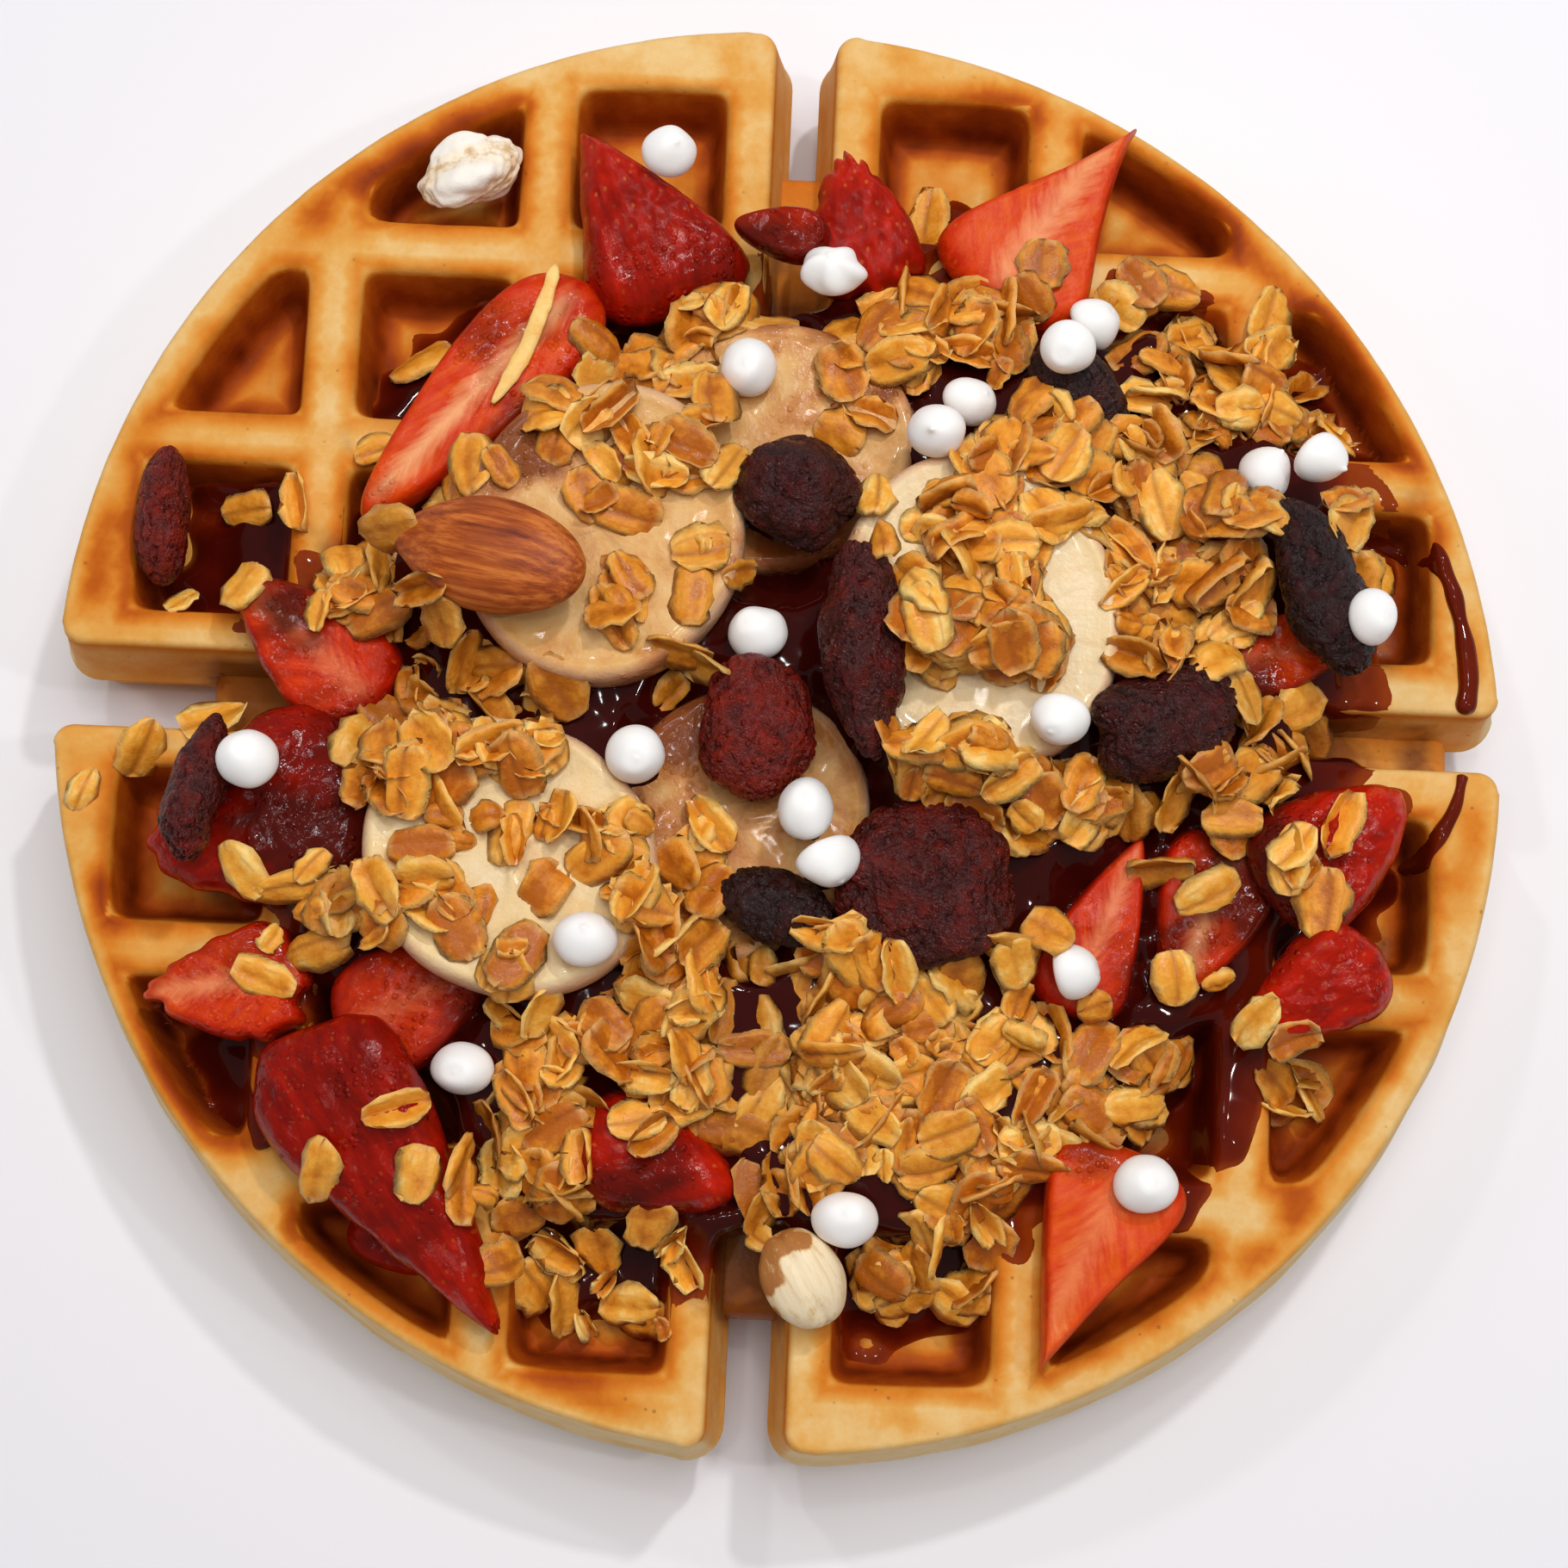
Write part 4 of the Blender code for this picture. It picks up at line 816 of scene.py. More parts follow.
def strawberry_outline(length, width, point, blunt, jag, aside, seed, around=108):
    """x = L/2 cos t and y = along^p sqrt(1 - along^b) sgn(t), along = (1 - cos t) / 2, made as wide
    as named. Gives the line and by how much each of its points is shaken in or out."""
    t = turns(around)
    along = (1 - np.cos(t)) / 2
    side = np.sign(np.sin(t)) * along ** point * np.sqrt(1 - along ** blunt)
    across = side / np.abs(side).max() * width / 2 + aside * (1 - along) ** 1.5
    line = np.stack([length / 2 * np.cos(t), across], -1)
    circle = np.stack([np.cos(t), np.sin(t)], -1)
    shake = 0.035 * ripple(circle, 1.6, seed) + jag * ripple(circle, 0.45, seed + 50)
    return line, np.minimum(shake, 0.05)


def strawberry_net(length, width, thick, point, cut, jag, aside, seed):
    """Rings of the outline at the profile's heights and sizes, then inwards over the top."""
    line, shake = strawberry_outline(length, width, point, 9 if point > 0.7 else 5, jag, aside, seed)
    sides = SLICED if cut else DOMED
    last_z, last = sides[-1]
    inner = last * np.array([0.9, 0.8, 0.7, 0.6, 0.5, 0.4, 0.3, 0.2, 0.1])
    crown = last_z + (1.0 - last_z) * (1 - (inner / last) ** 2) * (0.35 if cut else 1.0)
    levels = np.concatenate([sides, np.stack([crown, inner], -1)])
    net = np.empty((len(levels), len(line), 3))
    net[..., :2] = line * (levels[:, 1, None] * (1 + shake * levels[:, 1, None] ** 4))[..., None]
    net[..., 2] = thick * levels[:, :1]
    top = ease(levels[:, 0], 0.5, 0.9)[:, None]
    net[..., 2] += top * (0.35 if not cut else 0.16) * ripple(net[..., :2], 6.0, seed + 7)
    net[..., 2] += top * (0.16 if not cut else 0.07) * ripple(net[..., :2], 2.4, seed + 8)
    return net, levels


print("strawberry_01 has", strawberry_net(26, 20, 8.5, 0.85, 0, 0.02, 5.0, 0)[0].shape[0], "rings")

# %% [markdown]
# Strawberry is deep red outside, with small hollows that hold pale seeds. Inside it is
# brighter, streaked from its middle outwards, with a paler heart. Syrup darkens it, makes it
# glossy and stands on it in small drops.

# %% Look of strawberry
def strawberry_look():
    look = Look("strawberry_flesh", Metallic=0.0, IOR=1.36, Specular_IOR_Level=0.36)
    place, space = look.place("place"), look.space()
    along, across, up = look.split(place)
    tone, core, cut = look.value("tone"), look.value("core"), look.value("cut")
    edge = look.value("edge")
    off = look.math("ABSOLUTE", across)
    sheared = look.join(look.minus(along, look.times(off, 0.8)), look.times(across, 0.35),
                        look.times(up, 0.3))
    streak = look.noise(sheared, 9, 4, 0.6, 0.3)
    soft = look.noise(space, 320, 4, 0.6)
    own = look.place("own")
    grain = look.noise(look.stretch(own, (0.12, 0.5, 0.3)), 1.0, 5, 0.65)
    shade = look.plus(look.times(soft, 0.45), look.times(grain, 0.75))
    red = look.ramp(look.plus(tone, look.minus(shade, 0.6)),
                    (0.1, (0.12, 0.002, 0.001)), (0.35, (0.27, 0.005, 0.001)), (0.6, (0.50, 0.011, 0.001)),
                    (0.95, (0.78, 0.07, 0.004)))
    flesh = look.ramp(look.plus(tone, look.centred(streak, 0.7)),
                      (0.25, (0.36, 0.008, 0.001)), (0.6, (0.62, 0.035, 0.002)),
                      (0.9, (0.74, 0.105, 0.006)), (1.0, (0.82, 0.20, 0.03)))
    middle = look.minus(1.0, look.times(off, 1.9))
    middle = look.plus(middle, look.centred(streak, 0.9))
    heart = look.times(look.span(middle, 0.45, 1.05), core)
    flesh = look.blend(heart, flesh, (0.84, 0.36, 0.15))
    open_face = look.times(cut, look.span(look.plus(edge, look.centred(soft, 0.16)), 0.93, 0.72))
    colour = look.blend(open_face, red, flesh)
    dimples = look.node("ShaderNodeTexVoronoi", "Distance",
                        {"Vector": look.stretch(own, (0.38, 0.52, 0)), "Scale": 1.0, "Randomness": 0.75},
                        voronoi_dimensions="2D")
    pit = look.span(dimples, 0.42, 0.05)
    skin_only = look.minus(1.0, open_face)
    syrup = look.value("syrup")
    seed = look.times(look.span(dimples, 0.13, 0.07),
                      look.times(skin_only, look.span(soft, 0.4, 0.6, 0.1, 0.6)))
    seed = look.times(seed, look.span(syrup, 0.1, 0.5, 1.0, 0.0))
    colour = look.blend(seed, colour, (0.52, 0.14, 0.02))
    thick = look.span(look.plus(syrup, look.centred(soft, 0.3)), 0.25, 0.95)
    colour = look.tint(colour, thick, 0.88, (0.05, 0.004, 0.002))
    bare_skin = look.times(skin_only, look.span(syrup, 0.1, 0.45, 1.0, 0.15))
    normal = look.bump(look.times(look.minus(1.0, pit), bare_skin), 0.26, 0.6)
    normal = look.bump(look.plus(soft, look.times(grain, 0.5)), 0.4, 0.6, normal)
    normal = look.beads(1000, 0.48, look.span(syrup, 0.12, 0.4), normal)
    return look.finish(Base_Color=colour, Normal=normal, Roughness=look.span(syrup, 0, 0.5, 0.4, 0.12),
                       Subsurface_Weight=0.06, Subsurface_Radius=(1.0, 0.25, 0.1), Subsurface_Scale=0.0012)


strawberry_flesh = strawberry_look()
print("strawberry look of", len(strawberry_flesh.node_tree.nodes), "nodes")

# %% [markdown]
# Each slice is now laid down with the lean of its solid. Its mesh carries its own axes, how
# near its edge each point lies, and how much syrup has reached it.

# %% Strawberry slices
for number, row in enumerate(STRAWBERRIES):
    node, x, y, way, length, width, thick, point, cut, tone, core, wet, jag, aside = row
    net, levels = strawberry_net(length, width, thick, point, cut, jag, aside, number)
    points, faces = shell(net, (0, 0, 0))
    share = np.append(np.repeat(levels[:, 1], net.shape[1]), (0, 0))
    local = np.append(points[:, :2] * 2 / (length, width), points[:, 2:] / thick, axis=1)
    lay_piece(node, points, faces, slice_lie(node, x, y, way), strawberry_flesh, "strawberry", {
        "place": local, "own": points, "edge": share, "core": core, "cut": float(cut),
        "tone": tone + TIP_BRIGHTER * ease(local[:, 0], 0.2, 0.95),
        "syrup": lambda world, wet=wet: np.clip(syrup_on(world) + wet, 0, 1)})
print(len(STRAWBERRIES), "strawberry pieces")

# %% [markdown]
# A banana slice is a low drum, cut a little aslant and so oval, with a rounded rim that
# stands slightly proud where the flesh has sunk. Its face is cream with fine radial marks
# and three darker seams at the middle; syrup turns it tan.

# %% Banana slices
# Node, x, y, way of its longer axis, length, width, tan from the syrup, syrup on it
BANANAS = (
    ("banana_1", -1.7, 31.5, 20, 35, 31, 0.75, 0.25),
    ("banana_2", -4.0, -14.5, 60, 34, 31, 0.85, 0.35),
    ("banana_3", -21.5, 18.5, 80, 37, 34, 0.72, 0.0),
    ("banana_4", 23.0, 11.0, 105, 39, 34, 0.2, -0.3),
    ("banana_5", -30.0, -20.5, 150, 36, 32, 0.35, -0.4),
)
BANANA_THICK = 6.5
BANANA_SIDE = np.array([
    (14, 0), (9, 0), (4.5, 0), (1.9, 0), (1.3, 0.1), (0.75, 0.38), (0.3, 0.85), (0.05, 1.5), (0.0, 2.4),
    (0.02, 3.4), (0.05, 4.3), (0.18, 5.1), (0.45, 5.75), (0.85, 6.2), (1.3, 6.42), (1.7, 6.42),
    (2.1, 6.28), (2.6, 6.16), (3.4, 6.1)])


def banana_net(length, width, seed, around=108):
    """Ellipse shaken by a hundredth, moved in by the profile's inset, then scaled to the middle."""
    t = turns(around)
    circle = np.stack([np.cos(t), np.sin(t)], -1)
    shake = 1 - 0.012 * (1 + ripple(circle, 0.9, seed))
    size = np.array([length, width]) / 2
    rings = [np.c_[circle * (size - inset) * shake[:, None], np.full(around, z)]
             for inset, z in BANANA_SIDE]
    middle = np.array([0, 0, BANANA_THICK - 0.5])
    last = rings[-1]
    rings += [middle + (last - middle) * share for share in np.linspace(0.9, 0.06, 14)]
    net = np.array(rings)
    face = ease(net[..., 2], 5.9, 6.1)
    swell = 0.1 * ripple(net[..., :2], 6, seed + 3) + 0.06 * ripple(net[..., :2], 2.2, seed + 4)
    net[..., 2] += face * swell
    return net


def banana_look():
    look = Look("banana_flesh", Metallic=0.0, IOR=1.38, Coat_Weight=0.15, Coat_Roughness=0.08)
    place, space = look.place("place"), look.space()
    x, y, _ = look.split(place)
    reach = look.node("ShaderNodeVectorMath", "Value", {0: look.join(x, y)}, operation="LENGTH")
    angle = look.math("ARCTAN2", y, x)
    rays = look.join(look.math("SINE", angle), look.math("COSINE", angle), look.times(reach, 0.25))
    ray = look.noise(rays, 14, 4, 0.6)
    cloud, grain = look.noise(space, 190, 4, 0.55), look.noise(space, 900, 3, 0.6)
    tan = look.plus(look.value("tan"), look.centred(cloud, 0.9))
    flesh = look.ramp(tan, (0.0, (0.82, 0.68, 0.45)), (0.4, (0.80, 0.58, 0.28)), (0.75, (0.70, 0.38, 0.12)),
                      (1.0, (0.50, 0.18, 0.04)))
    flesh = look.tint(flesh, look.span(ray, 0.5, 0.72), 0.35, (0.66, 0.42, 0.2))
    seam = look.span(look.math("ABSOLUTE", look.math("SINE", look.times(angle, 1.5))), 0.3, 0.02)
    seam = look.times(seam, look.span(reach, 0.34, 0.05))
    flesh = look.tint(flesh, seam, 0.5, (0.40, 0.22, 0.10))
    rim = look.times(look.span(reach, 0.9, 0.96), look.span(grain, 0.2, 0.6, 0.75, 1.0))
    flesh = look.tint(flesh, rim, 0.8, (0.70, 0.40, 0.25))
    syrup = look.value("syrup")
    thick = look.span(look.plus(syrup, look.centred(cloud, 0.45)), 0.28, 0.9)
    flesh = look.tint(flesh, look.span(thick, 0.0, 0.5), 0.6, (0.48, 0.13, 0.02))
    flesh = look.tint(flesh, look.span(thick, 0.4, 1.0), 0.85, (0.17, 0.03, 0.004))
    normal = look.bump(look.plus(cloud, look.times(grain, 0.5)), 0.45, 0.7)
    normal = look.beads(1000, 0.5, look.span(thick, 0.1, 0.5), normal)
    return look.finish(Base_Color=flesh, Normal=normal, Roughness=look.span(thick, 0, 1, 0.32, 0.12),
                       Subsurface_Weight=0.05, Subsurface_Radius=(1.0, 0.6, 0.3), Subsurface_Scale=0.0015)


banana_flesh = banana_look()
for number, (node, x, y, way, length, width, tan, wet) in enumerate(BANANAS):
    net = banana_net(length, width, 60 + number)
    points, faces = shell(net, (0, 0, 0))
    local = np.append(points[:, :2] * 2 / (length, width), points[:, 2:] / BANANA_THICK, axis=1)
    lay_piece(node, points, faces, slice_lie(node, x, y, way), banana_flesh, "banana", {
        "place": local, "tan": tan, "syrup": lambda world, wet=wet: np.clip(syrup_on(world) + wet, 0, 1)})
print(len(BANANAS), "banana slices")

# %% [markdown]
# Dried fruit is a skin that has become too large for what it holds, so it falls into sharp
# creases with smooth swells between. On a ball squeezed to size, creases lie where a smooth
# field changes sign, and a second, finer field adds smaller ones.

# %% Dried fruit
# Node, way of its longer axis, length, width, thickness, how red
DRIED_FRUIT = (
    ("cranberry_1", 92, 17, 7, 8, 0.42), ("cranberry_2", 82, 18, 7, 7, 0.3),
    ("cranberry_3", 150, 15, 13, 8, 0.18), ("cranberry_4", 120, 16, 14, 8, 0.42),
    ("cranberry_5", 96, 24, 10, 8, 0.25), ("cranberry_6", 10, 21, 19, 8, 0.28),
    ("cranberry_7", 20, 19, 14, 9, 0.16), ("raisin_1", 118, 22, 11, 8, 0.02),
    ("raisin_2", 130, 14, 11, 8, 0.05), ("raisin_3", 160, 13, 9, 6, 0.0),
)


def ball(rings, around):
    """Directions over a ball whose poles lie at its two ends along X."""
    up = (np.arange(rings) + 0.7) / (rings + 0.4) * math.pi
    t = turns(around)
    net = np.empty((rings, around, 3))
    net[..., 0] = -np.cos(up)[:, None]
    net[..., 1] = np.sin(up)[:, None] * np.cos(t)
    net[..., 2] = np.sin(up)[:, None] * np.sin(t)
    return net


def creased(net, size, coarse, fine, seed):
    """Factor 1 + swell - creases, where a crease is (1 - |field| / w)^1.5 round the field's zero, and
    the creases' share, which the skin takes as painted shade.
    """
    points = net * size / 2
    swell = 0.13 * ripple(points, 9, seed)
    one = np.clip(1 - np.abs(ripple(points, coarse, seed + 1)) / 0.32, 0, 1) ** 1.5
    two = np.clip(1 - np.abs(ripple(points, fine, seed + 2)) / 0.35, 0, 1) ** 1.5
    return 1 + swell - 0.07 * one - 0.045 * two, np.clip(0.6 * one + 0.4 * two, 0, 1)


def dried_look():
    look = Look("dried_fruit", Metallic=0.0, IOR=1.45, Specular_IOR_Level=0.5)
    space = look.space()
    red, painted_crease_shade = look.value("red"), look.value("painted_crease_shade")
    mottle, fine = look.noise(space, 380, 5, 0.65), look.noise(space, 1300, 3, 0.6)
    skin = look.ramp(look.plus(red, look.centred(mottle, 0.7)),
                     (0.0, (0.014, 0.002, 0.002)), (0.25, (0.06, 0.003, 0.002)),
                     (0.55, (0.22, 0.010, 0.003)), (1.0, (0.45, 0.03, 0.006)))
    # Painted shade: the skin darkens to near black in its creases.
    skin = look.tint(skin, painted_crease_shade, 0.8, (0.010, 0.001, 0.001))
    skin = look.tint(skin, look.span(fine, 0.62, 0.75), 0.03, (0.5, 0.22, 0.18))
    normal = look.bump(look.plus(mottle, look.times(fine, 0.4)), 0.9, 1.3)
    normal = look.beads(1100, 0.46, 1.0, normal)
    return look.finish(Base_Color=skin, Normal=normal, Roughness=look.span(mottle, 0.42, 0.56, 0.42, 0.12))


dried_fruit = dried_look()
for number, (node, way, length, width, thick, red) in enumerate(DRIED_FRUIT):
    net = ball(64, 84)
    size = np.array([length, width, thick], float)
    factor, painted_crease_shade = creased(net, size, 3.6, 1.7, 80 + 5 * number)
    net = net * factor[..., None] * size / 2
    points, faces = shell(net, (-0.98 * length / 2, 0, 0), (0.98 * length / 2, 0, 0))
    lay_piece(node, points, faces, lump_lie(node, way, width, thick), dried_fruit, node.split("_")[0],
              {"red": red, "painted_crease_shade": np.append(painted_crease_shade.ravel(), (0, 0))})
print(len(DRIED_FRUIT), "dried fruits")

# %% [markdown]
# The nuts are smoother. The almond narrows to a point, and its skin has long ridges with
# painted shade in between; the blanched hazelnut keeps a patch of brown skin. The popped cluster
# is several puffs grown together, with creases where they meet, darkened as painted shade.

# %% Nuts and the popped cluster
# Way of its longer axis, length, width, thickness
ALMOND, HAZELNUT, POPPED = (168, 24, 13.5, 8.5), (120, 12, 9.5, 8.0), (20, 14, 10.5, 9.0)


def almond_net(length, width, thick):
    """Ball scaled to size, narrowed by 1 - 0.45 x^2 towards its point, with ridges along it."""
    net = ball(80, 96)
    x = net[..., 0]
    narrow = 1 - 0.45 * np.maximum(x, 0) ** 2
    angle = np.arctan2(net[..., 2], net[..., 1])
    drift = 0.25 * ripple(net, 1.4, 121)
    round_about = np.stack([3 * np.cos(angle), 3 * np.sin(angle), 0.5 * x], -1)
    ridge = 0.5 * np.cos(17 * (angle + drift)) + 0.5 * ripple(round_about, 0.8, 122)
    grow = 1 + 0.006 * ridge * (1 - x ** 4)
    net = net * np.stack([np.ones_like(x), narrow * grow, narrow * grow], -1)
    return net * (length / 2, width / 2, thick / 2), ridge


def popped_net(length, width, thick):
    """Radius 0.6 + largest of the puffs a exp(-(angle / s)^2), softened by a power sum."""
    net = ball(80, 110)
    draw = np.random.default_rng(9)
    heads = draw.normal(size=(11, 3))
    heads /= np.linalg.norm(heads, axis=1, keepdims=True)
    angle = np.arccos(np.clip(net @ heads.T, -1, 1))
    puff = draw.uniform(0.25, 0.42, 11) * np.exp(-(angle / draw.uniform(0.38, 0.55, 11)) ** 2)
    radius = 0.6 + (puff ** 5).sum(-1) ** 0.2 + 0.03 * ripple(net, 0.35, 77)
    # How deeply a point is sunk between the puffs; the skin darkens there as painted shade.
    shade = np.clip((0.83 - radius) / 0.2, 0, 1)
    net = net * radius[..., None]
    return net / np.abs(net).max((0, 1)) * (length / 2, width / 2, thick / 2), shade


def nut_look(name, dark, mid, light, bump_mm, rough, along=(0.07, 1, 1), scale=1.1):
    """Skin with streaks along the piece's own X, darker where the mesh says: painted shade between
    the almond's ridges and in the popped cluster's creases, and the hazelnut's patch of brown skin.
    """
    look = Look(name, Metallic=0.0, IOR=1.45)
    streak = look.noise(look.stretch(look.place("place"), along), scale, 5, 0.65)
    cloud = look.noise(look.space(), 240, 4, 0.6)
    depth = look.plus(look.times(look.value("shade"), 0.8), look.centred(streak, 1.7))
    depth = look.plus(look.plus(depth, 0.12), look.centred(cloud, 0.3))
    skin = look.ramp(depth, (0.12, light), (0.42, mid), (0.8, dark))
    return look.finish(Base_Color=skin, Roughness=rough, Normal=look.bump(streak, bump_mm, 0.6))


def lay_nut(node, net, row, pole, look, slot, shade):
    """Closes a net whose rings run along X, with poles at a share of its length, and lays it."""
    way, length, width, thick = row
    points, faces = shell(net, (-pole * length / 2, 0, 0), (pole * length / 2, 0, 0))
    lay_piece(node, points, faces, lump_lie(node, way, width, thick), look, slot,
              {"place": points, "shade": shade(points)})


net, ridge = almond_net(*ALMOND[1:])
almond_skin = nut_look("almond_skin", (0.15, 0.018, 0.002), (0.38, 0.07, 0.006),
                       (0.60, 0.165, 0.025), 0.4, 0.42)
# Painted shade: the almond's skin is darker between its ridges.
lay_nut("almond", net, ALMOND, 1, almond_skin, "almond",
        lambda points: 0.35 - 0.14 * np.append(ridge.ravel(), (0, 0)))

net = ball(56, 72)
split = 0.06 * np.exp(-(net[..., 1] / 0.1) ** 2) * (net[..., 2] > 0)
net = net * (1 - split + 0.02 * ripple(net, 0.8, 131))[..., None] * np.array(HAZELNUT[1:]) / 2
blanched_nut = nut_look("blanched_nut", (0.42, 0.16, 0.04), (0.74, 0.5, 0.24), (0.88, 0.72, 0.48), 0.2, 0.45)
lay_nut("hazelnut", net, HAZELNUT, 1, blanched_nut, "hazelnut", lambda points: ease(
    points[:, 0] / 6 + 0.5 * points[:, 1] / 5 + 0.25 * ripple(points, 3, 132), 0.35, 0.5))

net, shade = popped_net(*POPPED[1:])
popped_grain = nut_look("popped_grain", (0.62, 0.36, 0.14), (0.93, 0.80, 0.62), (0.95, 0.88, 0.79),
                        0.3, 0.6, (1, 1, 1), 0.6)
# Painted shade in the creases between the puffs.
lay_nut("popped_cluster", net, POPPED, 0.8, popped_grain, "popped",
        lambda points: 0.7 * np.append(shade.ravel(), (0, 0)) - 0.15)
print("almond, hazelnut and popped cluster made")

# %% [markdown]
# The white drops were piped: flat below, round above, with a small tip where the nozzle
# left. One profile is turned about its axis, bent a little towards the tip's side and made
# slightly oval, each its own way. They are plain white, so their finish carries them: a
# faint cloudiness, a soft sheen and some light passing through.

# %% White drops
# x, y, way the tip leans and how far, in degrees
DROPS = (
    (-16.3, 66.5, 0, 10), (4.3, 51.7, 90, 15), (-5.0, 40.3, 200, 10), (35.0, 47.5, 30, 60),
    (32.6, 43.0, 250, 30), (20.5, 36.9, 20, 40), (17.6, 32.0, 220, 20), (56.6, 29.7, 60, 45),
    (61.8, 32.4, 320, 70), (68.2, 11.8, 0, 30), (-2.2, 7.1, 140, 20), (-16.1, -7.9, 280, 25),
    (-60.2, -11.6, 90, 15), (33.0, -1.4, 250, 50), (4.1, -14.0, 120, 15), (6.0, -18.2, 300, 75),
    (-20.6, -30.4, 60, 10), (34.0, -31.0, 10, 70), (-34.2, -44.6, 200, 15), (44.6, -54.8, 45, 10),
    (10.4, -60.5, 90, 15),
)
DROP_PROFILE = np.array([
    (0.15, 0), (0.3, 0), (0.41, 0.015), (0.465, 0.07), (0.495, 0.16), (0.5, 0.25), (0.485, 0.36),
    (0.45, 0.47), (0.4, 0.57), (0.335, 0.67), (0.26, 0.75), (0.19, 0.81), (0.125, 0.86), (0.08, 0.9),
    (0.05, 0.94), (0.025, 0.975)])
DROP_WIDE, DROP_HIGH = 8.2, 6.0


def drop_net(number, around=48):
    """Circle of radius r(z) for the profile, made oval, its upper part moved aside by z^3 and its tip
    pressed down by a share of its own."""
    draw = np.random.default_rng(200 + number)
    oval, aside, way = draw.uniform(-0.1, 0.1), draw.uniform(0.1, 0.8), draw.uniform(0, math.tau)
    size, tip = draw.uniform(0.88, 1.0), draw.uniform(0.15, 1.0) ** 2
    t = turns(around)
    r, z = DROP_PROFILE.T
    net = np.empty((len(r), around, 3))
    net[..., 0] = (r[:, None] * np.cos(t)) * DROP_WIDE * (0.89 + oval)
    net[..., 1] = (r[:, None] * np.sin(t)) * DROP_WIDE * (0.89 - oval)
    net[..., 2] = (np.minimum(z, 0.8) + tip * np.maximum(z - 0.8, 0))[:, None] * DROP_HIGH
    net *= size
    if number == 1:
        folds = 1 + 0.1 * np.cos(5 * t + 3 * z[:, None]) * ease(z, 0.05, 0.3)[:, None]
        net[..., :2] *= folds[..., None]
    net *= (0.985 + 0.035 * ripple(net, 5, 210 + number))[..., None]
    net[..., 0] += aside * math.cos(way) * z[:, None] ** 3
    net[..., 1] += aside * math.sin(way) * z[:, None] ** 3
    return net


def drop_look():
    look = Look("white_drop", Metallic=0.0, IOR=1.45, Roughness=0.42, Sheen_Weight=0.08)
    cloud = look.noise(look.space(), 300, 3, 0.5)
    tone = look.blend(cloud, (0.94, 0.91, 0.88), (0.97, 0.95, 0.93))
    return look.finish(Base_Color=tone, Normal=look.bump(cloud, 0.15, 0.4), Subsurface_Weight=0.2,
                       Subsurface_Radius=(1.0, 0.8, 0.6), Subsurface_Scale=0.001)


white_drop = drop_look()
for number, (x, y, way, lean) in enumerate(DROPS):
    node = f"white_drop_{number + 1:02d}"
    axis = Vector((-math.sin(math.radians(way)), math.cos(math.radians(way)), 0))
    turn = np.array(Matrix.Rotation(math.radians(lean), 3, axis))
    net = drop_net(number)
    points, faces = shell(net, (0, 0, 0), net[-1].mean(0) + (0, 0, 0.04))
    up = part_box(node)[0].z / MM - (points @ turn.T)[:, 2].min()
    lay_piece(node, points, faces, (turn, np.array([x, y, up])), white_drop, "white_drop", {})
print(len(DROPS), "white drops")

# %% [markdown]
# Syrup and oat flakes come to rest on what lies below them. So the heights under everything
# are kept on an even grid: the waffle's from its profiles, and the fruit's by looking straight
# down at each piece. A second grid keeps what kind of piece is seen there.

# %% Heights under everything
CELL, REACH = 0.5, 93.0
KINDS = {"strawberry": 1, "banana": 2, "cranberry": 3, "raisin": 3,
         "almond": 4, "hazelnut": 4, "popped": 4, "white_drop": 5}
axis = np.arange(-REACH, REACH + CELL / 2, CELL)
grid_x, grid_y = np.meshgrid(axis, axis)


def batter_top(x, y):
    """Height of the waffle's upper surface, read from the profiles of its side and its pockets."""
    top = np.interp(pocket_distance(x, y), POCKET_SIDE[:, 0], POCKET_SIDE[:, 1])
    side = SIDE[SIDE[:, 1] >= THICK / 2][::-1]
    edge = edge_distance(x, y)
    top = np.minimum(top, np.interp(edge, side[:, 0], side[:, 1]))
    top = np.where(edge < 0, np.maximum(THICK / 2 + 3 * edge, 0), top)
    joined = (slot_distance(x, y) < 0) & (np.hypot(x, y) < JOINED_REACH)
    return np.where(joined, np.maximum(top, (THICK + WEB_HIGH) / 2), top)


def look_down(points, faces, x, y):
    """Heights of a shell's top under the places x, y; below 0 where it isn't hit."""
    tree = BVHTree.FromPolygons(points.tolist(), [f for part in faces for f in part.tolist()])
    down, found = Vector((0, 0, -1)), np.full(len(x), -1.0)
    for k, place in enumerate(zip(x.tolist(), y.tolist())):
        hit = tree.ray_cast(Vector((*place, 70)), down)[0]
        if hit:
            found[k] = hit.z
    return found


heights = batter_top(grid_x, grid_y)
kinds = np.zeros(heights.shape, int)
for slot, points, faces in toppings:
    low, high = points.min(0), points.max(0)
    rows = slice(*np.searchsorted(axis, (low[1], high[1])))
    cols = slice(*np.searchsorted(axis, (low[0], high[0])))
    seen = look_down(points, faces, grid_x[rows, cols].ravel(), grid_y[rows, cols].ravel())
    seen = seen.reshape(heights[rows, cols].shape)
    kinds[rows, cols] = np.where(seen > heights[rows, cols], KINDS[slot], kinds[rows, cols])
    heights[rows, cols] = np.maximum(heights[rows, cols], seen)
fruit_heights = heights.copy()
print("fruit covers", round((kinds > 0).mean() * (2 * REACH) ** 2 / 100), "square centimetres")

# %% [markdown]
# The syrup is one body with an uneven top. It fills the space between the fruit as a low
# dome, thins out over the batter in tongues, stands level in some pockets and has run down
# here and there. The pockets it fills and the lines it ran along are named first.

# %% Where syrup stands and runs
SYRUP_LEVEL, DRY = 20.5, 99.0
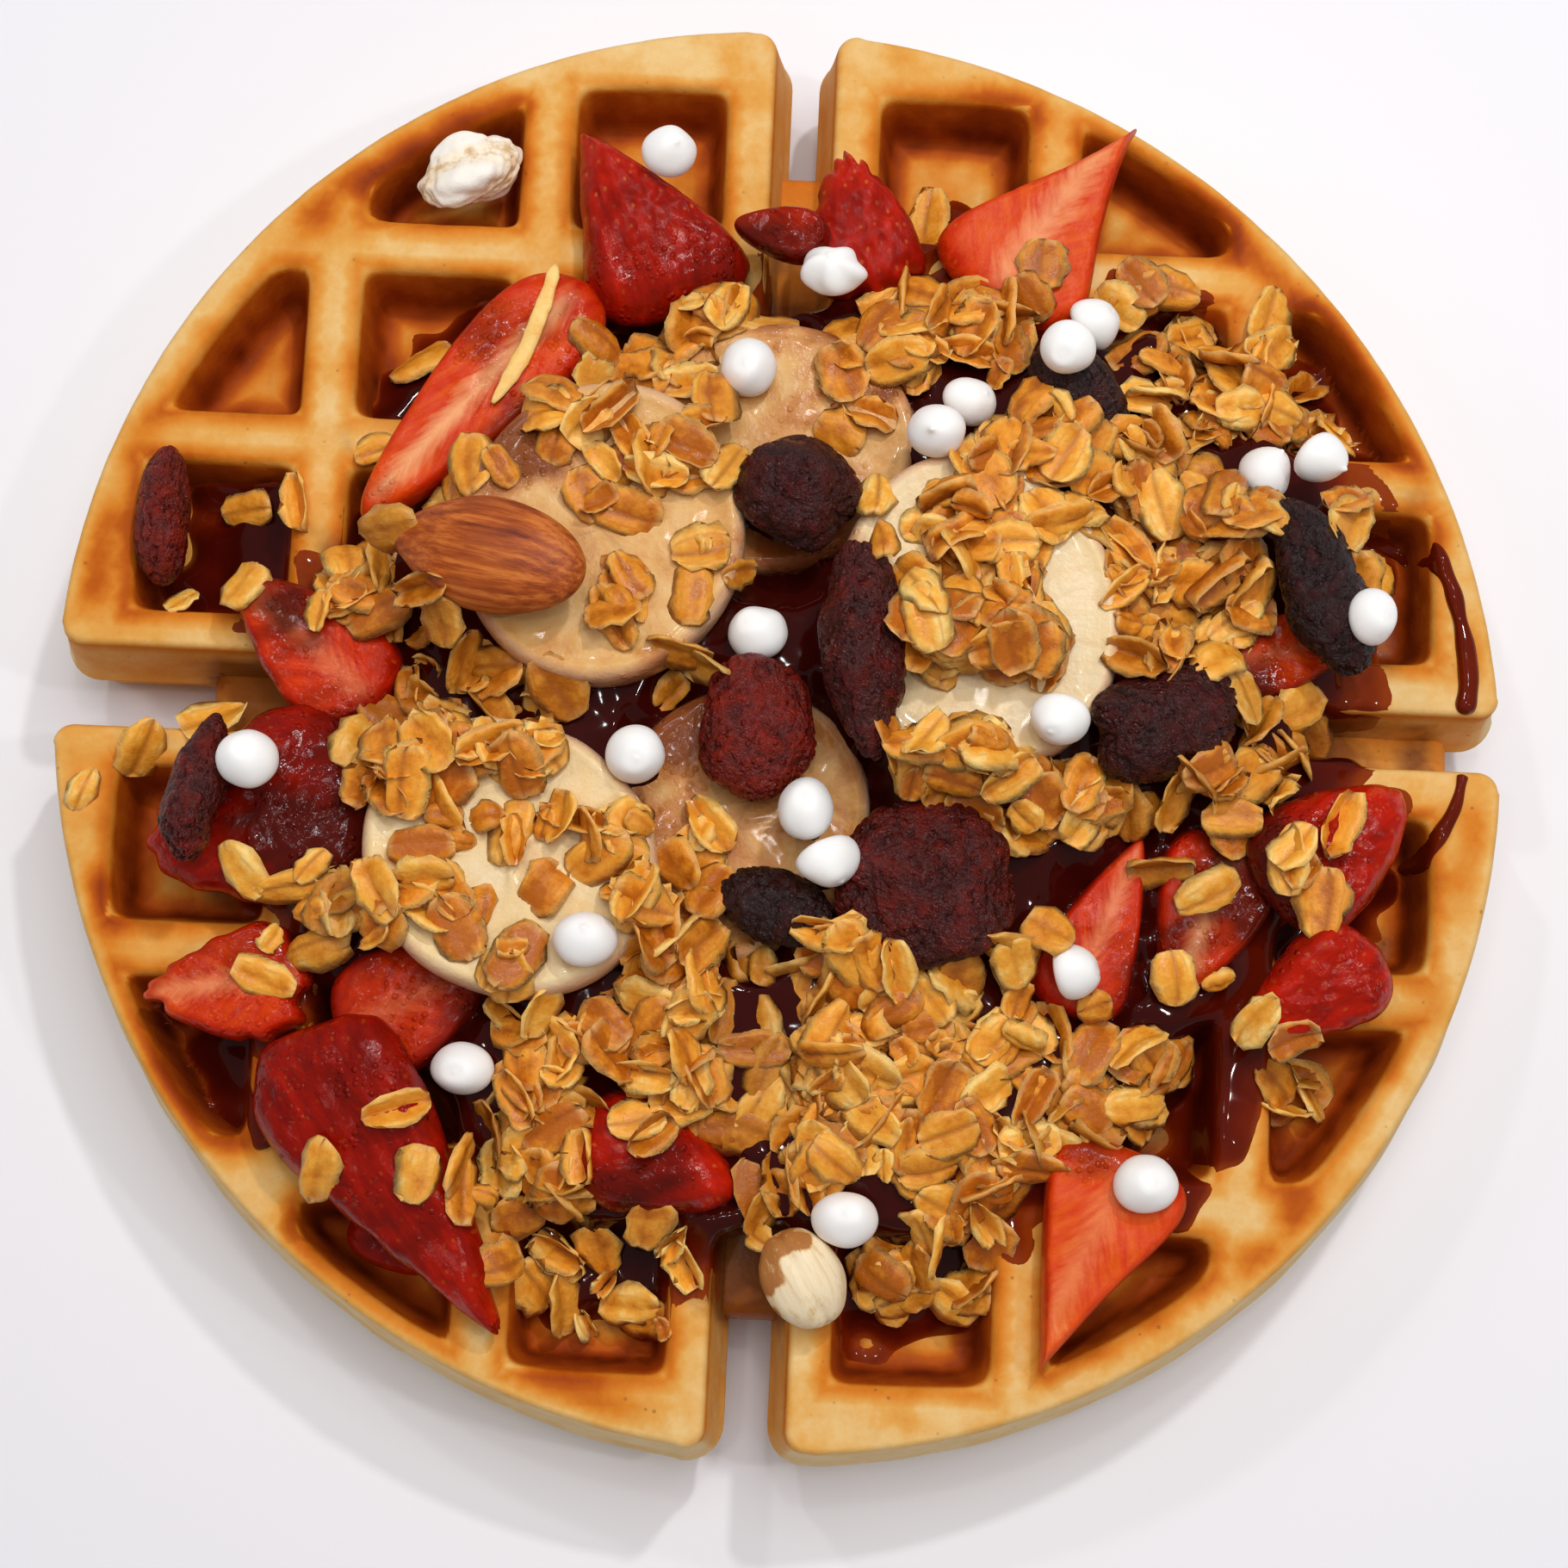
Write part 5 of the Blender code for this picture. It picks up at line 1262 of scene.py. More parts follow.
# Which quarter, by the signs of x and y, and which pocket of it, counted outwards
SYRUP_POCKETS = (
    (-1, 1, 1, 1), (-1, 1, 2, 0), (1, 1, 2, 0), (1, 1, 2, 1), (1, -1, 2, 0), (1, -1, 0, 2),
    (-1, -1, 0, 2), (-1, -1, 2, 1))
# Half width, height, and the places each run passes, in millimetres
RUNS = (
    (2.4, 1.1, ((-66, -36), (-62, -41), (-57, -42))),
    (5.0, 1.5, ((55.7, -12), (57.0, -26), (55.5, -37), (53.0, -46))),
    (3.4, 1.2, ((53.0, -42), (52.0, -50), (49.0, -56))),
    (3.2, 0.9, ((58, 20), (66, 25), (73, 24))),
    (3.0, 0.9, ((20, 66), (14, 60), (12, 52))),
    (2.6, 0.9, ((18, -52), (22, -60), (17, -66))),
    (2.4, 0.8, ((-20, -60), (-27, -64), (-24, -70))),
)


def path_distance(x, y, path):
    """Distance to the nearest place on a line through the named points."""
    nearest = np.full(x.shape, DRY)
    for (ax, ay), (bx, by) in zip(path[:-1], path[1:]):
        length = (bx - ax) ** 2 + (by - ay) ** 2
        part = np.clip(((x - ax) * (bx - ax) + (y - ay) * (by - ay)) / length, 0, 1)
        nearest = np.minimum(nearest, np.hypot(x - ax - part * (bx - ax), y - ay - part * (by - ay)))
    return nearest


print(len(SYRUP_POCKETS), "pockets with syrup and", len(RUNS), "runs")

# %% [markdown]
# Syrup lies against the fruit and doesn't cover it. So it may reach a little under the
# fruit's top there, and higher with each step away: the cap is handed on from square to
# square until it no longer matters.

# %% How high syrup may reach
def cap_by_fruit(below=1.0, slope=0.9, cells=22):
    """Height that syrup may reach: under the fruit's top, and rising with distance from it."""
    cap = np.where(kinds > 0, fruit_heights - below, DRY)
    rows, cols = cap.shape
    steps = [(r, c, math.hypot(r - 1, c - 1)) for r in range(3) for c in range(3) if (r, c) != (1, 1)]
    for _ in range(cells):
        wide = np.pad(cap, 1, constant_values=DRY)
        for r, c, far in steps:
            cap = np.minimum(cap, wide[r:r + rows, c:c + cols] + slope * CELL * far)
    return cap


def on_grid(values, x, y):
    """Values at places between the grid's: the four nearest, weighted by nearness."""
    u = np.clip((x + REACH) / CELL, 0, len(axis) - 1.001)
    v = np.clip((y + REACH) / CELL, 0, len(axis) - 1.001)
    i, j = u.astype(int), v.astype(int)
    a, b = u - i, v - j
    return (values[j, i] * (1 - a) + values[j, i + 1] * a) * (1 - b) + \
        (values[j + 1, i] * (1 - a) + values[j + 1, i + 1] * a) * b


fruit_cap = cap_by_fruit()
print("fruit holds syrup down to", round(fruit_cap.min(), 1), "mm at the lowest")

# %% [markdown]
# Dome, tongues, runs and pools are each a height over the grid, and the highest one counts.
# The result is kept, as the flakes lie on it.

# %% Top of the syrup
def syrup_top(x, y):
    """Highest of the dome b + h sqrt(1 - q^2), the tongues w + t, the pools and the runs, held
    below the fruit's tops."""
    flat = np.stack([x, y], -1)
    below = batter_top(x, y)
    share = np.hypot(x, y) / heap_reach(np.arctan2(y, x))
    share = share + 0.035 * ripple(flat, 11, 301)
    dome = HEAP_EDGE + HEAP_RISE * np.sqrt(np.maximum(1 - share ** 2, 0)) + \
        0.5 * ripple(flat, 13, 303) + 0.14 * ripple(flat, 5.5, 304)
    fall = np.clip((1.03 - share) / 0.13, -1, 1)
    fall = fall * (2 - np.abs(fall))
    top = np.where(fall > 0, below + (dome - below) * fall, below + 2 * fall)
    tongue = share + 0.06 * ripple(flat, 10, 305)
    thin = np.clip((1.05 - tongue) / 0.1, -1, 1)
    top = np.maximum(top, below + 0.9 * thin)
    for half, thick, path in RUNS:
        part = path_distance(x, y, path) / half * (1 + 0.22 * ripple(flat, 7, 307))
        run = np.clip(1 - part ** 2, -1, 1)
        top = np.maximum(top, below + thick * run)
    top = np.where((slot_distance(x, y) < 0.7) & (share > 0.93), below - 1, top)
    for sx, sy, i, j in SYRUP_POCKETS:
        middle = pocket_middle(i, j) * (sx, sy)
        here = np.maximum(np.abs(x - middle[0]), np.abs(y - middle[1])) < POCKET / 2 + 3
        pool = here & (pocket_distance(x, y) > -0.4)
        outwards = ((x - middle[0]) * middle[0] + (y - middle[1]) * middle[1]) / np.linalg.norm(middle)
        spent = ease(outwards + 2.5 * ripple(flat, 9, 309), -3, 9)
        level = SYRUP_LEVEL - 0.9 + (FLOOR - SYRUP_LEVEL - 0.6) * spent
        top = np.where(pool, np.maximum(top, level), top)
    top = np.minimum(top, on_grid(fruit_cap, x, y))
    return np.maximum(top, below - 1.2), below


syrup_on_grid = syrup_top(grid_x, grid_y)[0]
heights = np.maximum(heights, syrup_on_grid)
kinds[syrup_on_grid > fruit_heights] = 0
print("syrup rises to", round(syrup_on_grid.max(), 1), "mm")

# %% [markdown]
# Where the syrup dips below the batter it is hidden, so only the squares that rise above it
# are kept, with a lower copy and a wall round the border that close the body. Stray groups
# of a few squares are left out.

# %% A closed body over a grid
def grid_body(x, y, top, bottom, keep):
    """Closed body over the kept squares of a grid: top, lower copy turned over, and its border."""
    rows, cols = x.shape
    index = np.arange(rows * cols).reshape(rows, cols)
    squares = np.stack([index[:-1, :-1], index[:-1, 1:], index[1:, 1:], index[1:, :-1]], -1)[keep]
    edges = np.stack([squares, np.roll(squares, -1, 1)], -1).reshape(-1, 2)
    key = np.sort(edges, 1)
    _, one, count = np.unique(key[:, 0] * rows * cols + key[:, 1], return_index=True, return_counts=True)
    border = edges[one[count == 1]]
    used = np.unique(squares)
    new = np.full(rows * cols, -1)
    new[used] = np.arange(len(used))
    n = len(used)
    upper, lower = new[squares], new[squares][:, ::-1] + n
    start, end = new[border].T
    wall = np.stack([end, start, start + n, end + n], -1)
    flat = np.stack([x.ravel()[used], y.ravel()[used]], -1)
    points = np.concatenate([np.c_[flat, top.ravel()[used]], np.c_[flat, bottom.ravel()[used]]])
    return points, [upper, lower, wall], used


def without_specks(keep, least):
    """Drops groups of fewer squares than named. Each square takes the highest number among its
    neighbours until nothing changes, so that a group ends up with one number."""
    label = np.where(keep, np.arange(1, keep.size + 1).reshape(keep.shape), 0)
    while True:
        wide = np.pad(label, 1)
        grown = keep * np.maximum.reduce([label, wide[:-2, 1:-1], wide[2:, 1:-1],
                                          wide[1:-1, :-2], wide[1:-1, 2:]])
        if (grown == label).all():
            return keep & (np.bincount(label.ravel())[label] >= least)
        label = grown


SYRUP_STEP, SYRUP_REACH, SPECK = 0.62, 88.0, 130
syrup_axis = np.arange(-SYRUP_REACH, SYRUP_REACH + 0.01, SYRUP_STEP)
syrup_x, syrup_y = np.meshgrid(syrup_axis, syrup_axis)
syrup_z, batter_z = syrup_top(syrup_x, syrup_y)
above = syrup_z > batter_z - 0.5
wet_squares = without_specks(above[:-1, :-1] | above[:-1, 1:] | above[1:, 1:] | above[1:, :-1], SPECK)
print("syrup covers", round(wet_squares.mean() * 100), "percent of its grid")

# %% [markdown]
# Thin syrup is a clear dark red, and deep syrup nearly black, so the mesh carries its depth.
# Four strands that ran down over bare batter are rounded bars along a smooth line.

# %% Syrup and its strands
def syrup_look():
    look = Look("dark_syrup", Metallic=0.0, IOR=1.46, Roughness=0.07, Specular_IOR_Level=0.28)
    depth = look.value("depth")
    cloud = look.noise(look.space(), 160, 4, 0.6)
    depth = look.plus(depth, look.centred(cloud, 1.2))
    tone = look.ramp(look.times(depth, 0.25), (0.0, (0.26, 0.036, 0.003)), (0.12, (0.16, 0.013, 0.001)),
                     (0.3, (0.10, 0.006, 0.001)), (0.7, (0.06, 0.003, 0.001)), (1.0, (0.036, 0.002, 0.001)))
    return look.finish(Base_Color=tone, Normal=look.bump(look.noise(look.space(), 150, 2, 0.4), 0.4, 0.25))


# Strands that ran down: half width, height, and the places they pass, in millimetres
STRANDS = (
    (1.05, 0.8, ((71, 26.5), (76.5, 25.5), (80.3, 21), (82.3, 14.5), (83.2, 8), (82.7, 3.6))),
    (1.0, 0.8, ((82.6, -3.8), (81.4, -8.5), (77.4, -15.2))),
    (1.2, 0.8, ((-64.5, -40), (-63, -44.5), (-60.4, -49.5), (-57.2, -54.5))),
    (0.8, 0.6, ((-55, -44), (-55.5, -48), (-53.5, -53))),
)


def smooth_path(path, steps=14):
    """Catmull-Rom curve through the places: four neighbours weighted by cubic polynomials."""
    p = np.array([path[0], *path, path[-1]], float)
    t = (np.arange(steps) / steps)[:, None]
    parts = [0.5 * (2 * b + (c - a) * t + (2 * a - 5 * b + 4 * c - d) * t ** 2
                    + (3 * b - a - 3 * c + d) * t ** 3)
             for a, b, c, d in zip(p[:-3], p[1:-2], p[2:-1], p[3:])]
    return np.concatenate(parts + [p[-1:]])


def strand_net(path, half, high, seed):
    """Round section w cos a, h sin a carried along the path and laid on the batter; it swells
    and thins, and its last bit ends in a bead."""
    line = smooth_path(path)
    ahead = np.gradient(line, axis=0)
    side = np.stack([-ahead[:, 1], ahead[:, 0]], -1) / np.linalg.norm(ahead, axis=1, keepdims=True)
    t = np.linspace(0, 1, len(line))
    bead = 0.5 * np.exp(-((t - 0.93) / 0.07) ** 2)
    swell = (1 + 0.25 * ripple(line, 6, seed) + bead) * (1 - (2 * t - 1) ** 20) ** 0.5
    swell[[0, -1]] = 0.3
    a = turns(14)
    flat = line[:, None] + side[:, None] * (half * swell[:, None] * np.cos(a))[..., None]
    z = batter_top(flat[..., 0], flat[..., 1]) + high * np.minimum(swell, 1.3)[:, None] * np.sin(a)
    return np.concatenate([flat, z[..., None]], -1)


dark_syrup = syrup_look()
points, faces = together([shell(strand_net(path, half, high, 320 + number))
                        for number, (half, high, path) in enumerate(STRANDS)])
put("syrup_strands", mesh_from("syrup_strands", points, faces, {"depth": 0.9}), dark_syrup,
    "granola", "waffle")
print(len(STRANDS), "strands of syrup")
points, faces, used = grid_body(syrup_x, syrup_y, syrup_z, np.minimum(syrup_z, batter_z) - 0.7, wet_squares)
depth = np.clip(syrup_z - batter_z, 0, 6).ravel()[used]
put("syrup", mesh_from("syrup", points, faces, {"depth": np.concatenate([depth, depth])}), dark_syrup,
    "granola", "granola_heap")
print("syrup of", len(faces[0]), "squares on each side")

# %% [markdown]
# A rolled oat is a thin oval leaf with a crease along its middle. All flakes are worked out
# at once from a few numbers each: length, width, curl, bend and jagged edge.

# %% Shape of the flakes
FLAKE_STATIONS = np.array([-0.95, -0.72, -0.38, 0.0, 0.38, 0.72, 0.95])
# Across the flake: place from edge to edge, and how far above or below its middle plane
FLAKE_LOOP = np.array([
    (1.0, 0.0), (0.62, 0.9), (0.16, 0.85), (0.0, 0.35), (-0.16, 0.85), (-0.62, 0.9), (-1.0, 0.0),
    (-0.55, -0.9), (0.0, -0.8), (0.55, -0.9)])
FLAKE_THICK, FLAKE_LIMIT = 0.75, 48.6


def flake_nets(sizes, seed):
    """Nets (n, 7, 10, 3): X = s L/2, Y = c W/2 (1 - s^2)^0.32 and Z = h + curl c^2 + bend s^2 + twist s c,
    shaken a little; a few are folded along the crease."""
    draw = np.random.default_rng(seed)
    n = len(sizes)
    s = FLAKE_STATIONS[None, :, None]
    c = FLAKE_LOOP[None, None, :, 0]
    h = FLAKE_LOOP[None, None, :, 1]
    edge = np.abs(c)
    half = (1 - s ** 2) ** 0.32 * (1 + draw.uniform(-0.14, 0.14, (n, 1, 1)) * s)
    half = half * (1 + draw.uniform(-0.2, 0.12, (n, 7, 10)) * edge)
    aside = draw.uniform(-0.28, 0.28, (n, 1, 1)) * (1 - c ** 2)
    length, width = sizes[:, 0, None, None], sizes[:, 1, None, None]
    curl = draw.normal(0.1, 0.5, (n, 1, 1))
    bend = draw.normal(-0.1, 0.55, (n, 1, 1))
    twist = draw.normal(0, 0.45, (n, 1, 1))
    thick = FLAKE_THICK / 2 * draw.uniform(0.8, 1.35, (n, 1, 1)) * (1 - 0.5 * s ** 4)
    fold = draw.uniform(0, 1, (n, 1, 1)) < 0.16
    net = np.empty((n, 7, 10, 3))
    net[..., 0] = s * length / 2 * (1 + draw.uniform(-0.05, 0.05, (n, 7, 10))) + 0 * c
    net[..., 1] = (c + aside) * width / 2 * half * np.where(fold, 0.72, 1)
    net[..., 2] = h * thick + curl * c ** 2 + bend * s ** 2 + twist * s * c
    net[..., 2] += np.where(fold, 2.2 * edge - 1.0, 0) + draw.uniform(-0.22, 0.22, (n, 7, 10))
    net[..., 2] -= curl / 3 + bend / 3
    return net, np.broadcast_to(s, (n, 7, 10)), np.broadcast_to(c, (n, 7, 10))


print("a flake is a net of", flake_nets(np.array([(8.0, 6.0)]), 0)[0].shape[1:3], "points")

# %% [markdown]
# Flakes are let down one after another. Each takes the slope of what lies under it, rests on
# its highest places, and raises the heights for the next one, so the pile builds up as a
# real one does.

# %% A pile that grows
class Pile:
    """The heights of a pile, which grow with each flake let down on it."""

    def __init__(self, heights):
        self.heights = heights.copy()

    def cell(self, x, y):
        last = len(axis) - 1
        return (np.clip(np.round((y + REACH) / CELL).astype(int), 0, last),
                np.clip(np.round((x + REACH) / CELL).astype(int), 0, last))

    def settle(self, x, y, way, length, width, sink, steep=0.7):
        """Fits a plane to the heights under the flake's oval, holds its slope, and lifts it until
        the named share of those places lies below it. Gives its slopes along and across and its height."""
        ahead = np.array([math.cos(way), math.sin(way)])
        side = np.array([-ahead[1], ahead[0]])
        u, v = OVAL[:, 0] * length / 2, OVAL[:, 1] * width / 2
        under = self.heights[self.cell(x + u * ahead[0] + v * side[0], y + u * ahead[1] + v * side[1])]
        system = np.stack([np.ones_like(u), u, v], -1)
        z, along, across = np.linalg.lstsq(system, under, rcond=None)[0]
        slope = math.hypot(along, across)
        if slope > steep:
            along, across = along * steep / slope, across * steep / slope
        left = under - along * u - across * v
        z = np.quantile(left, sink)
        return along, across, z

    def raise_by(self, x, y, way, length, width, along, across, z):
        """Lifts the heights inside the flake's oval to its upper side."""
        r = max(length, width) / 2
        rows = slice(*np.searchsorted(axis, (y - r, y + r)))
        cols = slice(*np.searchsorted(axis, (x - r, x + r)))
        dx, dy = grid_x[rows, cols] - x, grid_y[rows, cols] - y
        u = dx * math.cos(way) + dy * math.sin(way)
        v = dy * math.cos(way) - dx * math.sin(way)
        top = z + along * u + across * v + 0.5
        inside_oval = (2 * u / length) ** 2 + (2 * v / width) ** 2 < 0.85
        part = self.heights[rows, cols]
        part[inside_oval] = np.maximum(part, top)[inside_oval]


# Places under a flake where the heights are read: its middle and two rings
OVAL = np.array([(0, 0)] + [(r * math.cos(a), r * math.sin(a))
                            for r, count in ((0.45, 6), (0.85, 12)) for a in turns(count)])


def flake_turn(way, along, across, tilt):
    """Axes of a flake: ahead and side on the sloped plane, then turned by tilt about its length."""
    a = np.array([math.cos(way), math.sin(way), along])
    b = np.array([-math.sin(way), math.cos(way), across])
    a /= np.linalg.norm(a)
    up = np.cross(a, b)
    up /= np.linalg.norm(up)
    b = np.cross(up, a)
    c, s = math.cos(tilt), math.sin(tilt)
    return np.stack([a, b * c + up * s, up * c - b * s], 1)


pile = Pile(heights)
print("the pile starts at", round(pile.heights.max(), 1), "mm")

# %% [markdown]
# Where flakes lie is read off the photo, as fields of a few flakes each. A pixel's place on
# the waffle comes from the camera: its ray meets the level at which the flakes lie. Some
# flakes fell apart from the heap, and these are named one by one.

# %% Where the flakes lie
# Where flakes lie together in the photo: its pixel coordinates, spread in pixels, and number
FLAKE_FIELDS = (
    (740, 390, 40, 7), (850, 340, 40, 6), (960, 430, 45, 9), (1050, 350, 40, 5), (1130, 370, 45, 8),
    (1210, 325, 28, 4), (1330, 400, 50, 10), (1460, 430, 50, 16), (1540, 480, 35, 6),
    (1230, 470, 45, 9), (1150, 480, 40, 7), (1330, 560, 50, 11), (1440, 570, 35, 6),
    (1340, 650, 50, 13), (1440, 710, 40, 8), (1230, 560, 35, 5), (1110, 600, 40, 8), (1160, 690, 40, 8),
    (1060, 650, 28, 4), (1180, 780, 38, 8), (1090, 800, 35, 7), (910, 750, 26, 3), (950, 840, 26, 3),
    (1080, 890, 36, 8), (1200, 890, 40, 8), (1240, 930, 34, 5), (1340, 745, 34, 5), (1450, 860, 36, 6),
    (1420, 910, 34, 5), (1540, 860, 28, 3), (1500, 990, 26, 3), (830, 590, 28, 3), (770, 660, 40, 6),
    (690, 490, 34, 7), (760, 530, 34, 7), (840, 490, 26, 3), (690, 600, 22, 2), (560, 560, 26, 3),
    (450, 725, 40, 7), (390, 820, 40, 8), (620, 745, 38, 7), (700, 730, 34, 6), (500, 770, 40, 7),
    (570, 835, 38, 7), (640, 885, 38, 6), (480, 890, 38, 8), (540, 930, 36, 5), (600, 950, 36, 5),
    (460, 1025, 38, 7), (530, 1055, 34, 5), (700, 1010, 38, 8), (790, 960, 30, 5), (790, 1060, 28, 4),
    (600, 1125, 28, 4), (880, 1110, 40, 9), (790, 1150, 44, 8), (980, 1095, 34, 7),
    (1000, 1170, 44, 10), (1110, 1170, 44, 10), (1190, 1240, 38, 6), (620, 1215, 34, 6),
    (710, 1210, 36, 7), (800, 1230, 40, 9), (900, 1230, 40, 9), (770, 1300, 40, 7), (870, 1310, 38, 7),
    (1010, 1270, 44, 9), (1100, 1290, 40, 8), (1120, 1375, 38, 8), (1020, 1360, 38, 7),
    (960, 1370, 30, 4), (1060, 1435, 36, 8), (1210, 1340, 34, 5), (1290, 1230, 36, 4),
    (1365, 1235, 26, 4), (1280, 1290, 24, 3), (640, 1330, 32, 6), (560, 1360, 28, 4),
    (620, 1440, 36, 6), (700, 1500, 36, 6), (850, 1430, 28, 4), (900, 1390, 28, 4), (1000, 1490, 30, 5),
    (1110, 1500, 32, 5), (1600, 650, 18, 2), (1390, 1070, 20, 2), (600, 1270, 28, 3),
    (930, 1040, 26, 3), (740, 1090, 30, 4), (1518, 1255, 16, 8), (1115, 560, 32, 6), (1125, 650, 36, 9),
    (1185, 735, 32, 9), (1125, 745, 32, 8), (1200, 825, 26, 4), (1145, 855, 32, 7), (1060, 730, 26, 3),
    (1420, 420, 40, 6), (1500, 560, 34, 4), (1105, 795, 28, 6), (1180, 795, 26, 5), (1050, 800, 22, 3),
    (1090, 840, 22, 5), (1150, 845, 22, 5), (1115, 770, 24, 4), (1185, 640, 22, 3), (1195, 700, 20, 2),
)
FIELD_HEIGHT = 31.0
# Where the photo shows fruit or syrup without flakes: pixel coordinates and radius in pixels
BARE = (
    (1390, 1110, 100), (1430, 1270, 62), (945, 640, 52), (1570, 960, 80), (1625, 780, 70),
    (300, 1090, 60), (330, 930, 70), (480, 1180, 55), (330, 640, 60), (1255, 1040, 85), (1230, 690, 45),
    (760, 870, 50), (760, 240, 90), (1260, 230, 80), (1445, 1180, 55), (405, 600, 45), (420, 1300, 60),
    (500, 1460, 50), (560, 420, 60), (770, 1370, 50), (1240, 1470, 70), (600, 1040, 40))
# Flakes on bare batter and on the rim: x, y and way, in millimetres and degrees
FLAKES_APART = (
    (16.5, 66.3, 85), (-46.5, 44, 35), (-50.5, 30.5, 20), (-66.5, 23.5, 5), (-73, 11, 40),
    (-82.5, -13, 70), (-76, -8, 60), (53, -30.5, 20), (57, -35.5, 50), (-19.5, -73.5, 120),
    (72, 20.5, 70), (-49.5, -57.5, 80), (66, -12.5, 70), (-56, -25, 10), (-59.3, 23.6, 100),
    (-64.3, 11.6, 60), (-67.9, -3.4, 30), (-61, -23.1, 130), (-53, -22.4, 50), (-53, -27.4, 10),
    (-57.8, -30.6, 60), (-58.1, -35.1, 160), (-54.7, 8.5, 80), (-52.4, 15.2, 110), (-41.1, -50.1, 20),
    (-38.4, -57.3, 80), (51.4, -20.4, 30), (47.6, -30.7, 100), (60.5, -15.3, 50), (32.5, -26.5, 150),
    (38.5, -34.5, 20),
)


RIM_FREE, FLAKES_REACH, KEPT_OFF_DRIED, KEPT_OFF_FRUIT = 4, 80, 0.93, 0.85
# The photo's width and the lens's reach in pixels, and pixels for a millimetre on the waffle
PHOTO_WIDE, PHOTO_FOCAL, PIXELS_PER_MM = 1821, 3500.0, 10.0
# The camera's place in millimetres, and its directions to the right, up and backwards
CAMERA_PLACE = np.array([2.695, -70.346, 381.007])
CAMERA_AXES = np.array([(0.99901916, 0.04414221, 0.00349065), (-0.04408906, 0.98430208, 0.17089636),
                        (0.00410789, -0.17088264, 0.98528283)])


def seen_at(across, down, height):
    """Place at a height that the photo shows at a pixel: where the pixel's ray meets that level."""
    seen = ((across - PHOTO_WIDE / 2) / PHOTO_FOCAL, (PHOTO_WIDE / 2 - down) / PHOTO_FOCAL, -1.0)
    ray = np.array(seen) @ CAMERA_AXES
    return (CAMERA_PLACE + ray * (height - CAMERA_PLACE[2]) / ray[2])[:2]


def is_bare(x, y):
    """Whether a place lies in a part that the photo shows without flakes."""
    spots = np.array([(*seen_at(across, down, FIELD_HEIGHT), radius / PIXELS_PER_MM)
                      for across, down, radius in BARE])
    return (np.hypot(x - spots[:, 0], y - spots[:, 1]) < spots[:, 2]).any()


def flake_places(seed):
    """Places spread about each field's middle, apart from drops, nuts, dried and most fruit."""
    draw = np.random.default_rng(seed)
    places = []
    for across, down, spread, count in FLAKE_FIELDS:
        x, y = seen_at(across, down, FIELD_HEIGHT)
        wide, made = spread / PIXELS_PER_MM, 0
        for _ in range(count * 12):
            if made == count:
                break
            px, py = x + wide * draw.normal(), y + wide * draw.normal()
            inwards = edge_distance(np.array([px]), np.array([py]))[0]
            if inwards < RIM_FREE or math.hypot(px, py) > FLAKES_REACH or is_bare(px, py):
                continue
            row, col = pile.cell(np.array([px]), np.array([py]))
            around = kinds[max(row[0] - 5, 0):row[0] + 6, max(col[0] - 5, 0):col[0] + 6]
            here = kinds[row[0], col[0]]
            if near_drop[row[0], col[0]] or (around == KINDS["almond"]).any() or \
                    (here == KINDS["raisin"] and draw.random() < KEPT_OFF_DRIED) or \
                    (here == KINDS["strawberry"] and draw.random() < KEPT_OFF_FRUIT):
                continue
            places.append((px, py, draw.uniform(0, 180)))
            made += 1
    order = draw.permutation(len(places))
    return [places[k] for k in order] + list(FLAKES_APART)


def sunk_places(count, seed):
    """Places spread evenly over the heap where syrup shows."""
    draw = np.random.default_rng(seed)
    x, y = draw.uniform(-70, 70, (2, count * 6))
    share = np.hypot(x, y) / heap_reach(np.arctan2(y, x))
    good = (share < 0.97) & (kinds[pile.cell(x, y)] == 0) & ~near_drop[pile.cell(x, y)]
    return [(*place, draw.uniform(0, 180)) for place in zip(x[good], y[good])
            if not is_bare(*place)][:count]


def widened(mask, cells):
    """The mask grown by that many cells on every side, a row and a column at a time."""
    for _ in range(cells):
        wide = np.pad(mask, 1)
        mask = wide[1:-1, 1:-1] | wide[:-2, 1:-1] | wide[2:, 1:-1] | wide[1:-1, :-2] | wide[1:-1, 2:]
    return mask


DROP_FREE, SUNK = 7, 300
near_drop = widened(kinds == KINDS["white_drop"], DROP_FREE)
sunk = sunk_places(SUNK, 50)
places = sunk + flake_places(51)
total, apart = len(places), len(FLAKES_APART)
print(len(sunk), "flakes sunk in syrup of", total, "in all")

# %% [markdown]
# Now the flakes are let down. Some are small or broken, some have sunk into the syrup, and a
# few are left standing on edge.

# %% Letting the flakes down
SMALL, BROKEN, ON_EDGE = (0.18, 0.68), (0.1, 0.55), 0.12
LONE_REST, HEAP_REST = 0.94, 0.78
RINGS, AROUND = 7, 10
CORNERS = RINGS * AROUND + 2
draw = np.random.default_rng(52)
sizes = np.stack([draw.uniform(6.4, 9.0, total), draw.uniform(4.9, 6.7, total)], -1)
for share, smaller in (SMALL, BROKEN):
    sizes[draw.random(total) < share] *= smaller
nets, flake_s, flake_c = flake_nets(sizes, 53)
ends = np.zeros((total, 2, 3))
ends[:, 0, 0], ends[:, 1, 0] = -sizes[:, 0] / 2, sizes[:, 0] / 2
ends[:, :, 2] = nets[:, [0, -1]][:, :, :, 2].mean(2)
world = np.empty((total, CORNERS, 3))
